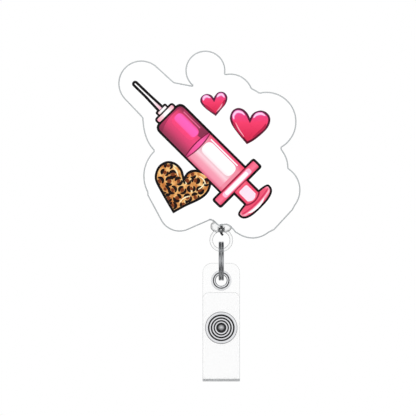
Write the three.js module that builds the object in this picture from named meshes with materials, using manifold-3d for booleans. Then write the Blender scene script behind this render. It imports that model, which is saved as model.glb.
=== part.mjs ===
// Retractable badge reel: a round spring reel behind a flat shaped topper, a swivel clip on its back,
// and a cord that ends in a clear ring, a split ring and a folded vinyl strap with a snap.
//
// Millimetres, +Z up, +X to the right seen from the front, the front faces -Y.
// The origin is the clip's grip point, midway between the tips of its two jaws.

import * as THREE from 'three';
import { mergeVertices } from 'three/addons/utils/BufferGeometryUtils.js';
import Module from 'manifold-3d';

const wasm = await Module();
wasm.setup();

// ---------------------------------------------------------------- driving dimensions

const GAP = 0.05;                 // between stacked pieces that rest on each other
const FINE = 48;                  // facets round the large turned pieces
const COARSE = 28;                // facets round the small ones

const CORD_Y = -7.8;              // plane of the cord, the reel's middle and the strap
const REEL_Z = 15;                // height of the reel's axis above the grip point
const CLIP_Y = -3;                // back face of the clip's base plate

const REEL_RADIUS = 16;           // 32 mm reel
const REEL_HALF = 4.3;            // half its thickness
const COVER_WALL = 1.4;
const COVER_FLOOR = 1.2;
const LIP_HEIGHT = 0.8;           // the rear cover's lip stands this far into the front cover
const LIP_WALL = 0.65;
const POST_RADIUS = 2.2;
const POST_TIP = -2.95;
const RIVET_RADIUS = 1.2;
const TAIL_SEAT = -2.2;           // floor of the counterbore that holds the rivet's tail
const SNOUT_HALF = 2.9;
const SNOUT_BOTTOM = -17.1;       // the cord leaves here, measured from the reel's axis

const CORD_RADIUS = 0.4;
const WINDING_CORE = 10.2;        // radius of the spool's drum
const CORD_LAYERS = 3;            // 12 turns lie in 3 layers of 4
const SPOOL_RADIUS = 13.8;
const SPOOL_HALF = 2.6;
const SPOOL_FLANGE = 0.9;
const CUP_RADIUS = 9.4;           // the power spring lies inside this

const PLATE_BACK = -5.35;         // topper stack, measured from the cord's plane
const PLATE_FRONT = -8.3;
const DECAL_FRONT = -8.6;
const DECAL_INSET = 0.55;
const PAD_RADIUS = 13.5;

const SHEET = 0.8;                // the clip's steel
const BASE_HALF_WIDTH = 4.5;
const PIN_RADIUS = 0.8;
const PIN_V = 5.5;                // pin centre above the base plate's back face
const PIN_Z = 18;
const TOOTH = 1.5;
const TOOTH_DEPTH = 0.8;

const RING_Z = -8.2;              // clear ring on the cord's end
const RING_MAJOR = 3.42;
const RING_MINOR = 0.575;
const NECK_FLATTEN = 0.62;
const KNOT_POCKET = 1.25;

const SPLIT_Z = -15.35;           // split ring
const SPLIT_OUTER = 6.65;
const SPLIT_INNER = 5.25;
const SPLIT_HALF = 0.935;         // half the width of its two coils

const STRAP_HALF = 6.35;          // half-inch vinyl
const VINYL = 0.5;
const STRAP_TOP = -16.05;
const FLAP_TOP = -26;
const FOLD_Z = -55.05;            // centre of the fold
const FOLD_RADIUS = 1.1;          // to the middle of the vinyl
const FOLD_Y = -0.2;              // fold centre, measured from the cord's plane
const REAR_Y = FOLD_Y + FOLD_RADIUS;
const FLAP_Y = FOLD_Y - FOLD_RADIUS;
const EYELET_Z = -21.95;
const EYELET_HOLE = 1.85;
const EYELET_BARREL = 2.3;        // outside of the barrel that goes through the vinyl
const SNAP_Z = -38.1;

// ---------------------------------------------------------------- helpers

const rad = THREE.MathUtils.degToRad;

// A closed mesh becomes a Manifold. Collapsed triangles at a lathe's axis are dropped, and a mesh
// whose faces point inwards is turned inside out.
function solid(geometry) {
  const plain = geometry.clone();
  plain.deleteAttribute('normal');
  plain.deleteAttribute('uv');
  const merged = mergeVertices(plain, 1e-4);
  const position = merged.attributes.position;
  const corner = (i) => new THREE.Vector3().fromBufferAttribute(position, i);
  const triangles = [];
  let volume = 0;
  for (let i = 0; i < merged.index.count; i += 3) {
    const [a, b, c] = [0, 1, 2].map((k) => merged.index.getX(i + k));
    if (a === b || b === c || c === a) continue;
    triangles.push([a, b, c]);
    volume += corner(a).dot(corner(b).cross(corner(c)));
  }
  if (volume < 0) triangles.forEach((triangle) => triangle.reverse());
  return new wasm.Manifold(new wasm.Mesh({
    numProp: 3,
    vertProperties: new Float32Array(position.array),
    triVerts: new Uint32Array(triangles.flat()),
  }));
}

function join(first, ...others) {
  return others.reduce((whole, other) => whole.add(other), first);
}

function cut(first, ...others) {
  return others.reduce((whole, other) => whole.subtract(other), first);
}

function place(group, name, manifold, material) {
  const mesh = manifold.getMesh();
  const geometry = new THREE.BufferGeometry();
  geometry.setAttribute('position', new THREE.BufferAttribute(mesh.vertProperties, 3));
  geometry.setIndex(new THREE.BufferAttribute(mesh.triVerts, 1));
  geometry.computeVertexNormals();
  const piece = new THREE.Mesh(geometry, material);
  piece.name = name;
  group.add(piece);
}

function groupAt(x, y, z) {
  const group = new THREE.Group();
  group.position.set(x, y, z);
  return group;
}

// A profile of [radius, height] pairs turned about Y, X or Z.
function turnedY(profile, segments = FINE) {
  return new THREE.LatheGeometry(profile.map(([r, y]) => new THREE.Vector2(r, y)), segments);
}

function turnedX(profile, segments = COARSE) {
  return turnedY(profile, segments).rotateZ(-Math.PI / 2);
}

function turnedZ(profile, segments = COARSE) {
  return turnedY(profile, segments).rotateX(Math.PI / 2);
}

function rod(radius, low, high) {
  return [[0, low], [radius, low], [radius, high], [0, high]];
}

function closed(profile) {
  return [...profile, profile[0]];
}

function polygon(points) {
  return new THREE.Shape(points.map(([a, b]) => new THREE.Vector2(a, b)));
}

// A shape drawn in (x, z), between two planes of constant y.
function slabY(shape, low, high, curveSegments = 8) {
  const settings = { depth: high - low, bevelEnabled: false, curveSegments };
  return new THREE.ExtrudeGeometry(shape, settings).rotateX(Math.PI / 2).translate(0, high, 0);
}

// A shape drawn in (y, z), between two planes of constant x.
function slabX(shape, low, high, curveSegments = 8) {
  const settings = { depth: high - low, bevelEnabled: false, curveSegments };
  const turn = new THREE.Matrix4().makeBasis(
    new THREE.Vector3(0, 1, 0), new THREE.Vector3(0, 0, 1), new THREE.Vector3(1, 0, 0));
  return new THREE.ExtrudeGeometry(shape, settings).applyMatrix4(turn).translate(low, 0, 0);
}

// A shape drawn in (x, y), between two planes of constant z.
function slabZ(shape, low, high, curveSegments = 8) {
  const settings = { depth: high - low, bevelEnabled: false, curveSegments };
  return new THREE.ExtrudeGeometry(shape, settings).translate(0, 0, low);
}

function box(x0, x1, y0, y1, z0, z1) {
  const geometry = new THREE.BoxGeometry(x1 - x0, y1 - y0, z1 - z0);
  return geometry.translate((x0 + x1) / 2, (y0 + y1) / 2, (z0 + z1) / 2);
}

// Moves each point of a closed outline sideways. Positive distances move to the right of travel.
function offsetPoints(points, distance, isClosed) {
  const last = points.length - 1;
  return points.map((point, i) => {
    const before = i > 0 ? points[i - 1] : isClosed ? points[last] : null;
    const after = i < last ? points[i + 1] : isClosed ? points[0] : null;
    const arriving = before && point.clone().sub(before).normalize();
    const leaving = after && after.clone().sub(point).normalize();
    const along = (arriving || leaving).clone().add(leaving || arriving).normalize();
    const straight = along.dot(arriving || leaving);
    const side = new THREE.Vector2(along.y, -along.x);
    return point.clone().addScaledVector(side, distance / straight);
  });
}

// A strip of even thickness that follows a centre line.
function strip(centre, thickness) {
  const points = centre.map(([a, b]) => new THREE.Vector2(a, b));
  const right = offsetPoints(points, thickness / 2, false);
  const left = offsetPoints(points, -thickness / 2, false).reverse();
  return new THREE.Shape([...right, ...left]);
}

function roundedPlate(halfWidth, bottom, top, bottomRadius, topRadius) {
  const shape = new THREE.Shape();
  shape.moveTo(-halfWidth, bottom + bottomRadius);
  if (topRadius) shape.absarc(-halfWidth + topRadius, top - topRadius, topRadius, rad(180), rad(90), true);
  else shape.lineTo(-halfWidth, top);
  if (topRadius) shape.absarc(halfWidth - topRadius, top - topRadius, topRadius, rad(90), 0, true);
  else shape.lineTo(halfWidth, top);
  if (bottomRadius) {
    shape.absarc(halfWidth - bottomRadius, bottom + bottomRadius, bottomRadius, 0, rad(-90), true);
    shape.absarc(-halfWidth + bottomRadius, bottom + bottomRadius, bottomRadius, rad(-90), rad(-180), true);
  } else {
    shape.lineTo(halfWidth, bottom);
    shape.lineTo(-halfWidth, bottom);
  }
  return shape;
}

// A round section swept along a smooth line through the given points.
function swept(points, radius, sides, steps) {
  const section = polygon(Array.from({ length: sides }, (unused, i) => {
    const angle = (2 * Math.PI * i) / sides;
    return [radius * Math.cos(angle), radius * Math.sin(angle)];
  }));
  const path = new THREE.CatmullRomCurve3(points.map((p) => new THREE.Vector3(...p)));
  return new THREE.ExtrudeGeometry(section, { steps, bevelEnabled: false, extrudePath: path });
}

function look(color, roughness, metalness = 0) {
  return new THREE.MeshStandardMaterial({ color, roughness, metalness });
}

// ---------------------------------------------------------------- materials

const clearAcrylic = look(0xf2f5f6, 0.08);
const whitePrint = look(0xfdfdfd, 0.25);
const whiteFoam = look(0xf4f4f2, 0.9);
const blackPlastic = look(0x17181a, 0.35);
const greyPlastic = look(0xb9bcc0, 0.5);
const springSteel = look(0x8f959c, 0.3, 1);
const nickel = look(0xd6d8da, 0.2, 1);
const blackCord = look(0x1a1a1c, 0.8);
const clearPlastic = look(0xe6eaec, 0.12);
const clearVinyl = look(0xeef1f2, 0.15);

// ---------------------------------------------------------------- topper

// The outline of the topper, clockwise from the notch between its two upper lobes.
function topperShape() {
  const shape = new THREE.Shape();
  const arc = (x, z, radius, from, to) => shape.absarc(x, z, radius, rad(from), rad(to), true);
  shape.moveTo(-16.1, 45.6);
  arc(-5.4, 49.5, 6.8, 229, -8);
  arc(3.1, 40.7, 7.8, 102, 22);
  arc(15.4, 32.1, 10.2, 103, -60);
  shape.quadraticCurveTo(22.9, 19.8, 22.86, 16.36);
  arc(18.2, 8.9, 8.8, 58, -38);
  shape.lineTo(24.4, 2.1);
  shape.lineTo(18.1, -4.7);
  arc(10.6, 1.1, 8.75, -52, -118);
  shape.lineTo(4.6, -5.5);
  shape.quadraticCurveTo(3, -3.2, 1.5, -3);
  shape.lineTo(-0.9, -3.4);
  shape.lineTo(-3.55, -1.3);
  arc(-14.2, 1.95, 7.25, -68, -155);
  shape.lineTo(-25.2, 7.1);
  arc(-14.6, 13.6, 11.95, 208, 134);
  shape.quadraticCurveTo(-26.6, 25.8, -26.9, 33.4);
  arc(-27.2, 45.1, 7.85, 222, 50);
  return shape;
}

function addTopper(group) {
  const outline = topperShape();
  const printed = new THREE.Shape(offsetPoints(outline.getPoints(8), DECAL_INSET, true));
  place(group, 'topper_plate', solid(slabY(outline, PLATE_FRONT, PLATE_BACK)), clearAcrylic);
  place(group, 'printed_decal', solid(slabY(printed, DECAL_FRONT, PLATE_FRONT - GAP)), whitePrint);
}

function adhesivePad() {
  return solid(turnedY(rod(PAD_RADIUS, PLATE_BACK + GAP, -REEL_HALF - GAP)));
}

// ---------------------------------------------------------------- reel casing

// A square snout with rounded corners under the reel, and the channel that the cord runs through.
function snout() {
  const section = roundedPlate(SNOUT_HALF, -SNOUT_HALF, SNOUT_HALF, 1.6, 1.6);
  return solid(slabZ(section, SNOUT_BOTTOM, -REEL_RADIUS + COVER_WALL / 2));
}

function cordChannel() {
  const mouth = 0.9;
  const inside = 4;
  const funnel = polygon([
    [-inside, -13.9], [inside, -13.9], [mouth, -16.4],
    [mouth, SNOUT_BOTTOM - 1], [-mouth, SNOUT_BOTTOM - 1], [-mouth, -16.4],
  ]);
  return solid(slabY(funnel, -mouth, mouth));
}

function behind(y) {
  return solid(box(-30, 30, y, 30, -30, 30));
}

function inFrontOf(y) {
  return solid(box(-30, 30, -30, y, -30, 30));
}

function frontCover() {
  const inner = REEL_RADIUS - COVER_WALL;
  const recess = REEL_RADIUS - LIP_WALL;
  const floor = -REEL_HALF + COVER_FLOOR;
  const shell = solid(turnedY([
    [0, -REEL_HALF], [REEL_RADIUS - 1.2, -REEL_HALF], [REEL_RADIUS - 0.35, -REEL_HALF + 0.35],
    [REEL_RADIUS, -REEL_HALF + 1.2], [REEL_RADIUS, -GAP / 2], [recess, -GAP / 2],
    [recess, -LIP_HEIGHT - 0.1], [inner, -LIP_HEIGHT - 0.1], [inner, floor],
    [3.4, floor], [3.4, floor + 0.4], [2.5, floor + 0.4], [2.5, floor], [0, floor],
  ]));
  const spout = cut(snout(), behind(-GAP / 2));
  const bore = solid(turnedY(rod(recess, -LIP_HEIGHT - 0.1, 1)));
  return cut(join(shell, cut(spout, bore)), cordChannel());
}

// The rear cover carries the hollow post that the spool turns on. A slot in the post holds the
// power spring's inner end, and a counterbore at its tip holds the rivet's tail.
function rearCover() {
  const inner = REEL_RADIUS - COVER_WALL;
  const lip = REEL_RADIUS - LIP_WALL - GAP;
  const floor = REEL_HALF - COVER_FLOOR;
  const bore = RIVET_RADIUS + GAP;
  const shell = solid(turnedY(closed([
    [bore, REEL_HALF], [REEL_RADIUS - 1.2, REEL_HALF], [REEL_RADIUS - 0.35, REEL_HALF - 0.35],
    [REEL_RADIUS, REEL_HALF - 1.2], [REEL_RADIUS, GAP / 2], [lip, GAP / 2],
    [lip, -LIP_HEIGHT], [inner, -LIP_HEIGHT], [inner, floor],
    [POST_RADIUS, floor], [POST_RADIUS, POST_TIP], [1.8, POST_TIP], [1.8, TAIL_SEAT], [bore, TAIL_SEAT],
  ])));
  const spout = cut(snout(), inFrontOf(GAP / 2));
  const slot = solid(box(0, POST_RADIUS + 0.2, POST_TIP - 1, 2.5, -0.3, 0.3));
  return cut(join(shell, spout), cordChannel(), slot);
}

// ---------------------------------------------------------------- spool, spring and cord

function spool() {
  const bore = POST_RADIUS + 0.1;
  const groove = SPOOL_HALF - SPOOL_FLANGE;
  return solid(turnedY(closed([
    [bore, -SPOOL_HALF], [SPOOL_RADIUS, -SPOOL_HALF], [SPOOL_RADIUS, -groove],
    [WINDING_CORE, -groove], [WINDING_CORE, groove], [SPOOL_RADIUS, groove],
    [SPOOL_RADIUS, SPOOL_HALF], [CUP_RADIUS, SPOOL_HALF], [CUP_RADIUS, -groove], [bore, -groove],
  ])));
}

// A flat spiral strip. Its inner end turns in to the slot in the post.
function powerSpring() {
  const turns = 7;
  const perTurn = 16;
  const first = 2.75;
  const last = 8.95;
  const centre = [[1.6, 0]];
  for (let i = 0; i <= turns * perTurn; i += 1) {
    const radius = first + ((last - first) * i) / (turns * perTurn);
    const angle = (2 * Math.PI * i) / perTurn;
    centre.push([radius * Math.cos(angle), radius * Math.sin(angle)]);
  }
  return solid(slabY(strip(centre, 0.3), -1.4, 2.3));
}

function cordWinding() {
  const outer = WINDING_CORE + 2 * CORD_RADIUS * CORD_LAYERS + 0.1;
  const side = SPOOL_HALF - SPOOL_FLANGE - GAP;
  return solid(turnedY(closed([
    [WINDING_CORE + GAP, -side], [outer - 0.25, -side], [outer, -side + 0.25],
    [outer, side - 0.25], [outer - 0.25, side], [WINDING_CORE + GAP, side],
  ])));
}

// The cord from where it leaves the winding to the snout's mouth.
function cordRun() {
  const route = [
    [4.55, 0, -12.43], [3.2, 0, -13.64], [1.9, 0, -14.8], [0.9, 0, -15.68],
    [0.28, 0, -16.3], [0, 0, -16.75], [0, 0, -17.05],
  ];
  return solid(swept(route, CORD_RADIUS, 8, 14));
}

// ---------------------------------------------------------------- clip

function clipRivet() {
  const seat = CLIP_Y - CORD_Y + SHEET + GAP;
  const tail = TAIL_SEAT - GAP;
  return solid(turnedY([
    [0, tail - 0.6], [1.4, tail - 0.6], [1.7, tail - 0.35], [1.7, tail], [RIVET_RADIUS, tail],
    [RIVET_RADIUS, seat], [2.4, seat], [2.4, seat + 0.25], [1.8, seat + 0.6],
    [0.9, seat + 0.75], [0, seat + 0.78],
  ], COARSE));
}

function clipWasher() {
  const low = REEL_HALF + GAP / 2;
  const high = CLIP_Y - CORD_Y - GAP / 2;
  return solid(turnedY(closed([[1.3, low], [4, low], [4, high], [1.3, high]]), COARSE));
}

// The plan of a jaw: a toothed tip at the bottom and rounded corners at the top.
function jawPlan(halfWidth, top, cornerRadius, waist) {
  const shape = new THREE.Shape();
  const tip = -1.5;
  shape.moveTo(-halfWidth, tip + TOOTH_DEPTH);
  if (waist) {
    shape.lineTo(-halfWidth, waist.low);
    shape.lineTo(-waist.halfWidth, waist.low + 1);
    shape.lineTo(-waist.halfWidth, waist.high - 1);
    shape.lineTo(-halfWidth, waist.high);
  }
  shape.absarc(-halfWidth + cornerRadius, top - cornerRadius, cornerRadius, rad(180), rad(90), true);
  shape.absarc(halfWidth - cornerRadius, top - cornerRadius, cornerRadius, rad(90), 0, true);
  if (waist) {
    shape.lineTo(halfWidth, waist.high);
    shape.lineTo(waist.halfWidth, waist.high - 1);
    shape.lineTo(waist.halfWidth, waist.low + 1);
    shape.lineTo(halfWidth, waist.low);
  }
  const teeth = Math.round((2 * halfWidth) / TOOTH);
  for (let i = 0; i < teeth; i += 1) {
    const right = halfWidth - (2 * halfWidth * i) / teeth;
    shape.lineTo(right, tip + TOOTH_DEPTH);
    shape.lineTo(right - halfWidth / teeth, tip);
  }
  return solid(slabY(shape, -2, 16, 6));
}

function pinHole(radius) {
  return solid(turnedX(rod(radius, -8, 8)).translate(0, PIN_V, PIN_Z));
}

function clipBase() {
  const side = solid(slabX(strip([[0.4, 30], [0.4, 3.4], [2.3, -1]], SHEET), -6, 6));
  const plate = side.intersect(jawPlan(BASE_HALF_WIDTH, 28, 2));
  const ear = new THREE.Shape();
  ear.moveTo(SHEET / 2, 14.2);
  ear.absarc(PIN_V, PIN_Z, 1.8, rad(-90), rad(90), false);
  ear.lineTo(SHEET / 2, 21.8);
  const leftEar = solid(slabX(ear, -BASE_HALF_WIDTH, -BASE_HALF_WIDTH + SHEET));
  const rightEar = solid(slabX(ear, BASE_HALF_WIDTH - SHEET, BASE_HALF_WIDTH));
  const rivetHole = solid(turnedY(rod(RIVET_RADIUS + 0.1, -1, 2), COARSE).translate(0, 0, REEL_Z));
  return cut(join(plate, leftEar, rightEar), rivetHole, pinHole(PIN_RADIUS + GAP));
}

function clipLever() {
  const line = [[3.75, -1], [6.2, 4.6], [7.4, 12], [8.1, 21], [12.4, 30]];
  const side = solid(slabX(strip(line, SHEET), -6, 6));
  const plan = jawPlan(4.3, 30.5, 3, { halfWidth: 3.3, low: 12.2, high: 23.8 });
  const ear = new THREE.Shape();
  ear.moveTo(7.8, 15.6);
  ear.absarc(PIN_V, PIN_Z, 1.7, rad(-90), rad(90), true);
  ear.lineTo(7.9, 20.4);
  const leftEar = solid(slabX(ear, -3.3, -3.3 + SHEET));
  const rightEar = solid(slabX(ear, 3.3 - SHEET, 3.3));
  return cut(join(side.intersect(plan), leftEar, rightEar), pinHole(PIN_RADIUS + 0.08));
}

function clipPin() {
  const inside = BASE_HALF_WIDTH + GAP;
  const end = inside + 0.45;
  return solid(turnedX([
    [0, -end], [1.1, -end], [1.2, -end + 0.1], [1.2, -inside], [PIN_RADIUS, -inside],
    [PIN_RADIUS, inside], [1.2, inside], [1.2, end - 0.1], [1.1, end], [0, end],
  ], 24).translate(0, PIN_V, PIN_Z));
}

// A torsion spring round the pin. One leg lies on the base plate, the other under the lever.
function clipSpring() {
  const turns = 3.5;
  const perTurn = 10;
  const coil = 1.35;
  const halfLength = 1.3;
  const route = [[-halfLength, 1.25, 25.5], [-halfLength, 2.6, 22], [-halfLength, 3.8, 19.6]];
  for (let i = 0; i <= turns * perTurn; i += 1) {
    const angle = rad(-90) - (2 * Math.PI * i) / perTurn;
    const across = -halfLength + (2 * halfLength * i) / (turns * perTurn);
    route.push([across, PIN_V + coil * Math.sin(angle), PIN_Z + coil * Math.cos(angle)]);
  }
  route.push([halfLength, 6.9, 19.6], [halfLength, 7.15, 21], [halfLength, 9.1, 25.5]);
  return solid(swept(route, 0.22, 6, 80));
}

// ---------------------------------------------------------------- cord end and rings

function cordLead() {
  return solid(turnedZ(rod(CORD_RADIUS, -3.4, -2.35), 8));
}

function cordKnot() {
  const ball = solid(new THREE.SphereGeometry(1, 14, 8).scale(1, 1, 1.1).translate(0, 0, -4.78));
  return join(ball, solid(swept([[0, 0, -5], [0.1, 0, -5.8], [0.5, 0, -6.5]], 0.36, 8, 6)));
}

// A clear ring with a flattened neck. The neck is hollow and holds the cord's knot.
function cordEndRing() {
  const neck = solid(turnedZ([
    [0, -5.6], [2, -5.6], [2.4, -5.35], [3.2, -4.8], [3.7, -4.1], [3.7, -2.9], [3.2, -2.25], [0, -2.25],
  ]).scale(1, NECK_FLATTEN, 1));
  const hoop = solid(new THREE.TorusGeometry(RING_MAJOR, RING_MINOR, 8, 36)
    .rotateX(Math.PI / 2).translate(0, 0, RING_Z));
  const pocket = solid(turnedZ(rod(KNOT_POCKET, -8, -3.6)));
  const hole = solid(turnedZ(rod(CORD_RADIUS + 0.15, -4, -1)));
  return cut(join(neck, hoop), pocket, hole);
}

// Two flat coils side by side, with the groove that shows between them.
function splitRing() {
  const edge = 0.35;
  const groove = 0.12;
  const half = [
    [SPLIT_INNER, -groove], [SPLIT_INNER, edge - SPLIT_HALF], [SPLIT_INNER + edge, -SPLIT_HALF],
    [SPLIT_OUTER - edge, -SPLIT_HALF], [SPLIT_OUTER, edge - SPLIT_HALF], [SPLIT_OUTER, -groove],
  ];
  const mirrored = half.map(([r, x]) => [r, -x]).reverse();
  return solid(turnedX(closed([
    ...half, [SPLIT_OUTER - groove, 0], ...mirrored, [SPLIT_INNER + groove, 0],
  ]), 36).translate(0, 0, SPLIT_Z));
}

// ---------------------------------------------------------------- strap, eyelet and snap

function across(profile, z, segments = COARSE) {
  return solid(turnedY(profile, segments).translate(0, 0, z));
}

function strapRear() {
  const shape = roundedPlate(STRAP_HALF, FOLD_Z + GAP, STRAP_TOP, 0, 3.2);
  const sheet = solid(slabY(shape, REAR_Y - VINYL / 2, REAR_Y + VINYL / 2));
  return cut(sheet, across(rod(EYELET_BARREL + GAP, -5, 5), EYELET_Z), across(rod(1.1, -5, 5), SNAP_Z));
}

function strapFlap() {
  const shape = roundedPlate(STRAP_HALF, FOLD_Z + GAP, FLAP_TOP, 0, 2.2);
  const sheet = solid(slabY(shape, FLAP_Y - VINYL / 2, FLAP_Y + VINYL / 2));
  return cut(sheet, across(rod(1.4, -5, 5), SNAP_Z));
}

function strapFold() {
  const bend = new THREE.Shape();
  bend.absarc(FOLD_Y, FOLD_Z, FOLD_RADIUS + VINYL / 2, rad(180), rad(360), false);
  bend.absarc(FOLD_Y, FOLD_Z, FOLD_RADIUS - VINYL / 2, rad(360), rad(180), true);
  return solid(slabX(bend, -STRAP_HALF, STRAP_HALF, 12));
}

// Heights below are measured from the cord's plane, front first.
function eyelet() {
  return across(closed([
    [EYELET_HOLE, 0.35], [2, 0.2], [2.65, 0.2], [2.85, 0.35], [2.85, 0.6], [EYELET_BARREL, 0.6],
    [EYELET_BARREL, 1.55], [2.7, 1.55], [2.7, 1.75], [2.2, 1.9], [EYELET_HOLE, 1.75],
  ]), EYELET_Z);
}

function eyeletWasher() {
  const bore = EYELET_BARREL + GAP;
  return across(closed([[bore, 1.2], [3.5, 1.2], [3.5, 1.4], [3.3, 1.5], [bore, 1.5]]), EYELET_Z);
}

function snapCap() {
  return across([
    [0, -0.95], [1.3, -0.95], [1.3, -1.6], [5.15, -1.6], [5.5, -1.85], [5.5, -2.2], [5.2, -2.5],
    [4.5, -2.5], [4, -2.22], [3.55, -2.22], [3, -2.55], [2.65, -2.55], [2.1, -2.23], [1.7, -2.23],
    [1.1, -1.9], [0, -2.23],
  ], SNAP_Z, 36);
}

function snapSocket() {
  return across(closed([
    [1.4, -1], [4, -1], [4.2, -0.8], [4.2, -0.5], [3, 0], [2.8, 0.25], [1.75, 0.25],
    [1.75, -0.85], [1.4, -0.85],
  ]), SNAP_Z);
}

function snapStud() {
  return across([
    [0, -0.75], [1.2, -0.75], [1.5, -0.5], [1.5, -0.2], [1.35, 0.05], [1.35, 0.3], [4, 0.3],
    [4, 0.6], [1.05, 0.6], [1.05, -0.45], [0, -0.45],
  ], SNAP_Z);
}

function snapPost() {
  return across([
    [0, -0.35], [1, -0.35], [1, 1.2], [4.6, 1.2], [5, 1.4], [5, 1.6], [4.4, 2], [0, 2],
  ], SNAP_Z);
}

// ---------------------------------------------------------------- assembly

const badgeReel = new THREE.Group();

const topper = groupAt(0, CORD_Y, 0);
addTopper(topper);

const reel = groupAt(0, CORD_Y, REEL_Z);
place(reel, 'adhesive_pad', adhesivePad(), whiteFoam);
place(reel, 'front_cover', frontCover(), blackPlastic);
place(reel, 'rear_cover', rearCover(), blackPlastic);
place(reel, 'spool', spool(), greyPlastic);
place(reel, 'power_spring', powerSpring(), springSteel);
place(reel, 'cord_winding', cordWinding(), blackCord);
place(reel, 'cord_run', cordRun(), blackCord);
place(reel, 'clip_rivet', clipRivet(), nickel);
place(reel, 'clip_washer', clipWasher(), blackPlastic);

const clip = groupAt(0, CLIP_Y, 0);
place(clip, 'clip_base', clipBase(), nickel);
place(clip, 'clip_lever', clipLever(), nickel);
place(clip, 'clip_pin', clipPin(), nickel);
place(clip, 'clip_spring', clipSpring(), springSteel);

const cordEnd = groupAt(0, CORD_Y, 0);
place(cordEnd, 'cord_lead', cordLead(), blackCord);
place(cordEnd, 'cord_knot', cordKnot(), blackCord);
place(cordEnd, 'cord_end_ring', cordEndRing(), clearPlastic);
place(cordEnd, 'split_ring', splitRing(), nickel);

const strap = groupAt(0, CORD_Y, 0);
place(strap, 'strap_rear', strapRear(), clearVinyl);
place(strap, 'strap_fold', strapFold(), clearVinyl);
place(strap, 'strap_flap', strapFlap(), clearVinyl);
place(strap, 'eyelet', eyelet(), nickel);
place(strap, 'eyelet_washer', eyeletWasher(), nickel);
place(strap, 'snap_cap', snapCap(), nickel);
place(strap, 'snap_socket', snapSocket(), nickel);
place(strap, 'snap_stud', snapStud(), nickel);
place(strap, 'snap_post', snapPost(), nickel);

badgeReel.add(topper, reel, clip, cordEnd, strap);

export default badgeReel;
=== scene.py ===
import math
import random

import bmesh
import bpy
from mathutils import Matrix, Vector


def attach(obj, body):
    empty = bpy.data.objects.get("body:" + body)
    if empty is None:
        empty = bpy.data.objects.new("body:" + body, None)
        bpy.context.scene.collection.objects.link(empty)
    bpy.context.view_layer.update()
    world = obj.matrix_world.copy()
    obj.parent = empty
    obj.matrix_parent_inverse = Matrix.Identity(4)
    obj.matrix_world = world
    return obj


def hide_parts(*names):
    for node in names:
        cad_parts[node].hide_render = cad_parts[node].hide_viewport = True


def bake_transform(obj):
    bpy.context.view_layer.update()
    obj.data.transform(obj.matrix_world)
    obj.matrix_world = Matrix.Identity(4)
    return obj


# Retractable badge reel. Every piece is built in millimetres, in the frame's own axes (+Z up, the front
# faces -Y), and scaled to metres when it is handed to the frame.

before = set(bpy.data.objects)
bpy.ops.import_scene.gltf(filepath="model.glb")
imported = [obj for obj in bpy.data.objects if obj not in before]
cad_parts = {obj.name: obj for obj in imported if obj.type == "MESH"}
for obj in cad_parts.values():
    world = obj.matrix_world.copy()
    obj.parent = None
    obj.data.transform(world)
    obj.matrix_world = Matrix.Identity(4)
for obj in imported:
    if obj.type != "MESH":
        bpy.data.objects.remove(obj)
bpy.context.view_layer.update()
scene = bpy.context.scene

# ---------------------------------------------------------------- sizes, in millimetres

MM = 0.001
GAP = 0.05                   # left between pieces that rest or turn on each other
CORD_Y = -7.8                # plane of the cord, the reel's middle and the strap
REEL_Z = 15                  # height of the reel's axis above the clip's grip
CLIP_Y = -3                  # back face of the clip's base plate

REEL_RADIUS = 16
REEL_HALF = 4.3
REEL_RIM = 1.3               # how far the rounding of its rims reaches
COVER_WALL = 1.4
COVER_FLOOR = 1.2
LIP_HEIGHT = 0.8
LIP_WALL = 0.65
SEAM = GAP / 2               # on each side of the middle, between the two covers
POST_RADIUS = 2.2
POST_TIP = -2.95             # front end of the rear cover's post, which the spool turns on
RIVET_RADIUS = 1.2
TAIL_SEAT = -2.2             # where the rivet's front head rests in the post
SNOUT_HALF = 2.9
SNOUT_TOP = -15.3
SNOUT_BOTTOM = -17.1

CORD_RADIUS = 0.4
WINDING_CORE = 10.2
CORD_LAYERS = 3
TURNS_IN_LAYER = 4
CORD_LEAVES = (8.2, -9.17)   # where the cord leaves the winding, from the reel's axis
SPOOL_RADIUS = 13.8
SPOOL_HALF = 2.6
SPOOL_FLANGE = 0.9
CUP_RADIUS = 9.4

PLATE_BACK = CORD_Y - 5.35
PLATE_FRONT = CORD_Y - 8.3
DECAL_FRONT = CORD_Y - 8.6
DECAL_INSET = 0.55
INK_STEP = 0.012             # each colour of print lies this far in front of the one under it
INK_ROOT = 0.05              # and reaches this far into the white film
LINE_GROWTH = 0.22           # how far the drawn lines spread outside their shapes
PAD_RADIUS = 13.5

SHEET = 0.8                  # the clip's steel
BASE_HALF_WIDTH = 4.5
LEVER_HALF_WIDTH = 4.3
LEVER_WAIST = 3.3            # half the lever's width where it passes between the base's ears
PIN_RADIUS = 0.8
PIN_Y = CLIP_Y + 5.5
PIN_Z = 18
TOOTH = 1.5
TOOTH_DEPTH = 0.8
JAW_TIP = -1.5

RING_Z = -8.2
RING_MAJOR = 3.42
RING_MINOR = 0.575
NECK_FLATTEN = 0.62          # depth of the ring's neck for its width
KNOT_POCKET = 1.25

SPLIT_Z = -15.35
SPLIT_MIDDLE = 5.95
SPLIT_DEPTH = 1.4            # the wire's size towards the ring's centre
SPLIT_WIDTH = 0.85
SPLIT_OFFSET = 0.46          # each coil's distance from the ring's middle plane

STRAP_HALF = 6.35
VINYL = 0.5
STRAP_TOP = -16.05
FLAP_TOP = -26
FOLD_Y = CORD_Y - 0.2
FOLD_Z = -55.05
FOLD_RADIUS = 1.1
EYELET_Z = -21.95
EYELET_HOLE = 1.85           # radius of the hole through the eyelet
EYELET_BORE = 2.32           # radius of the hole in the vinyl
SNAP_Z = -38.1

FLOOR_Z = -700               # below the lowest point that the pulled cord reaches
VIEW_DISTANCE = 2400
VIEW_WIDTH = 141.44          # what the camera frames at the print's distance
VIEW_X = -4.52
VIEW_Z = 2.75

# ---------------------------------------------------------------- lines and outlines


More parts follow.
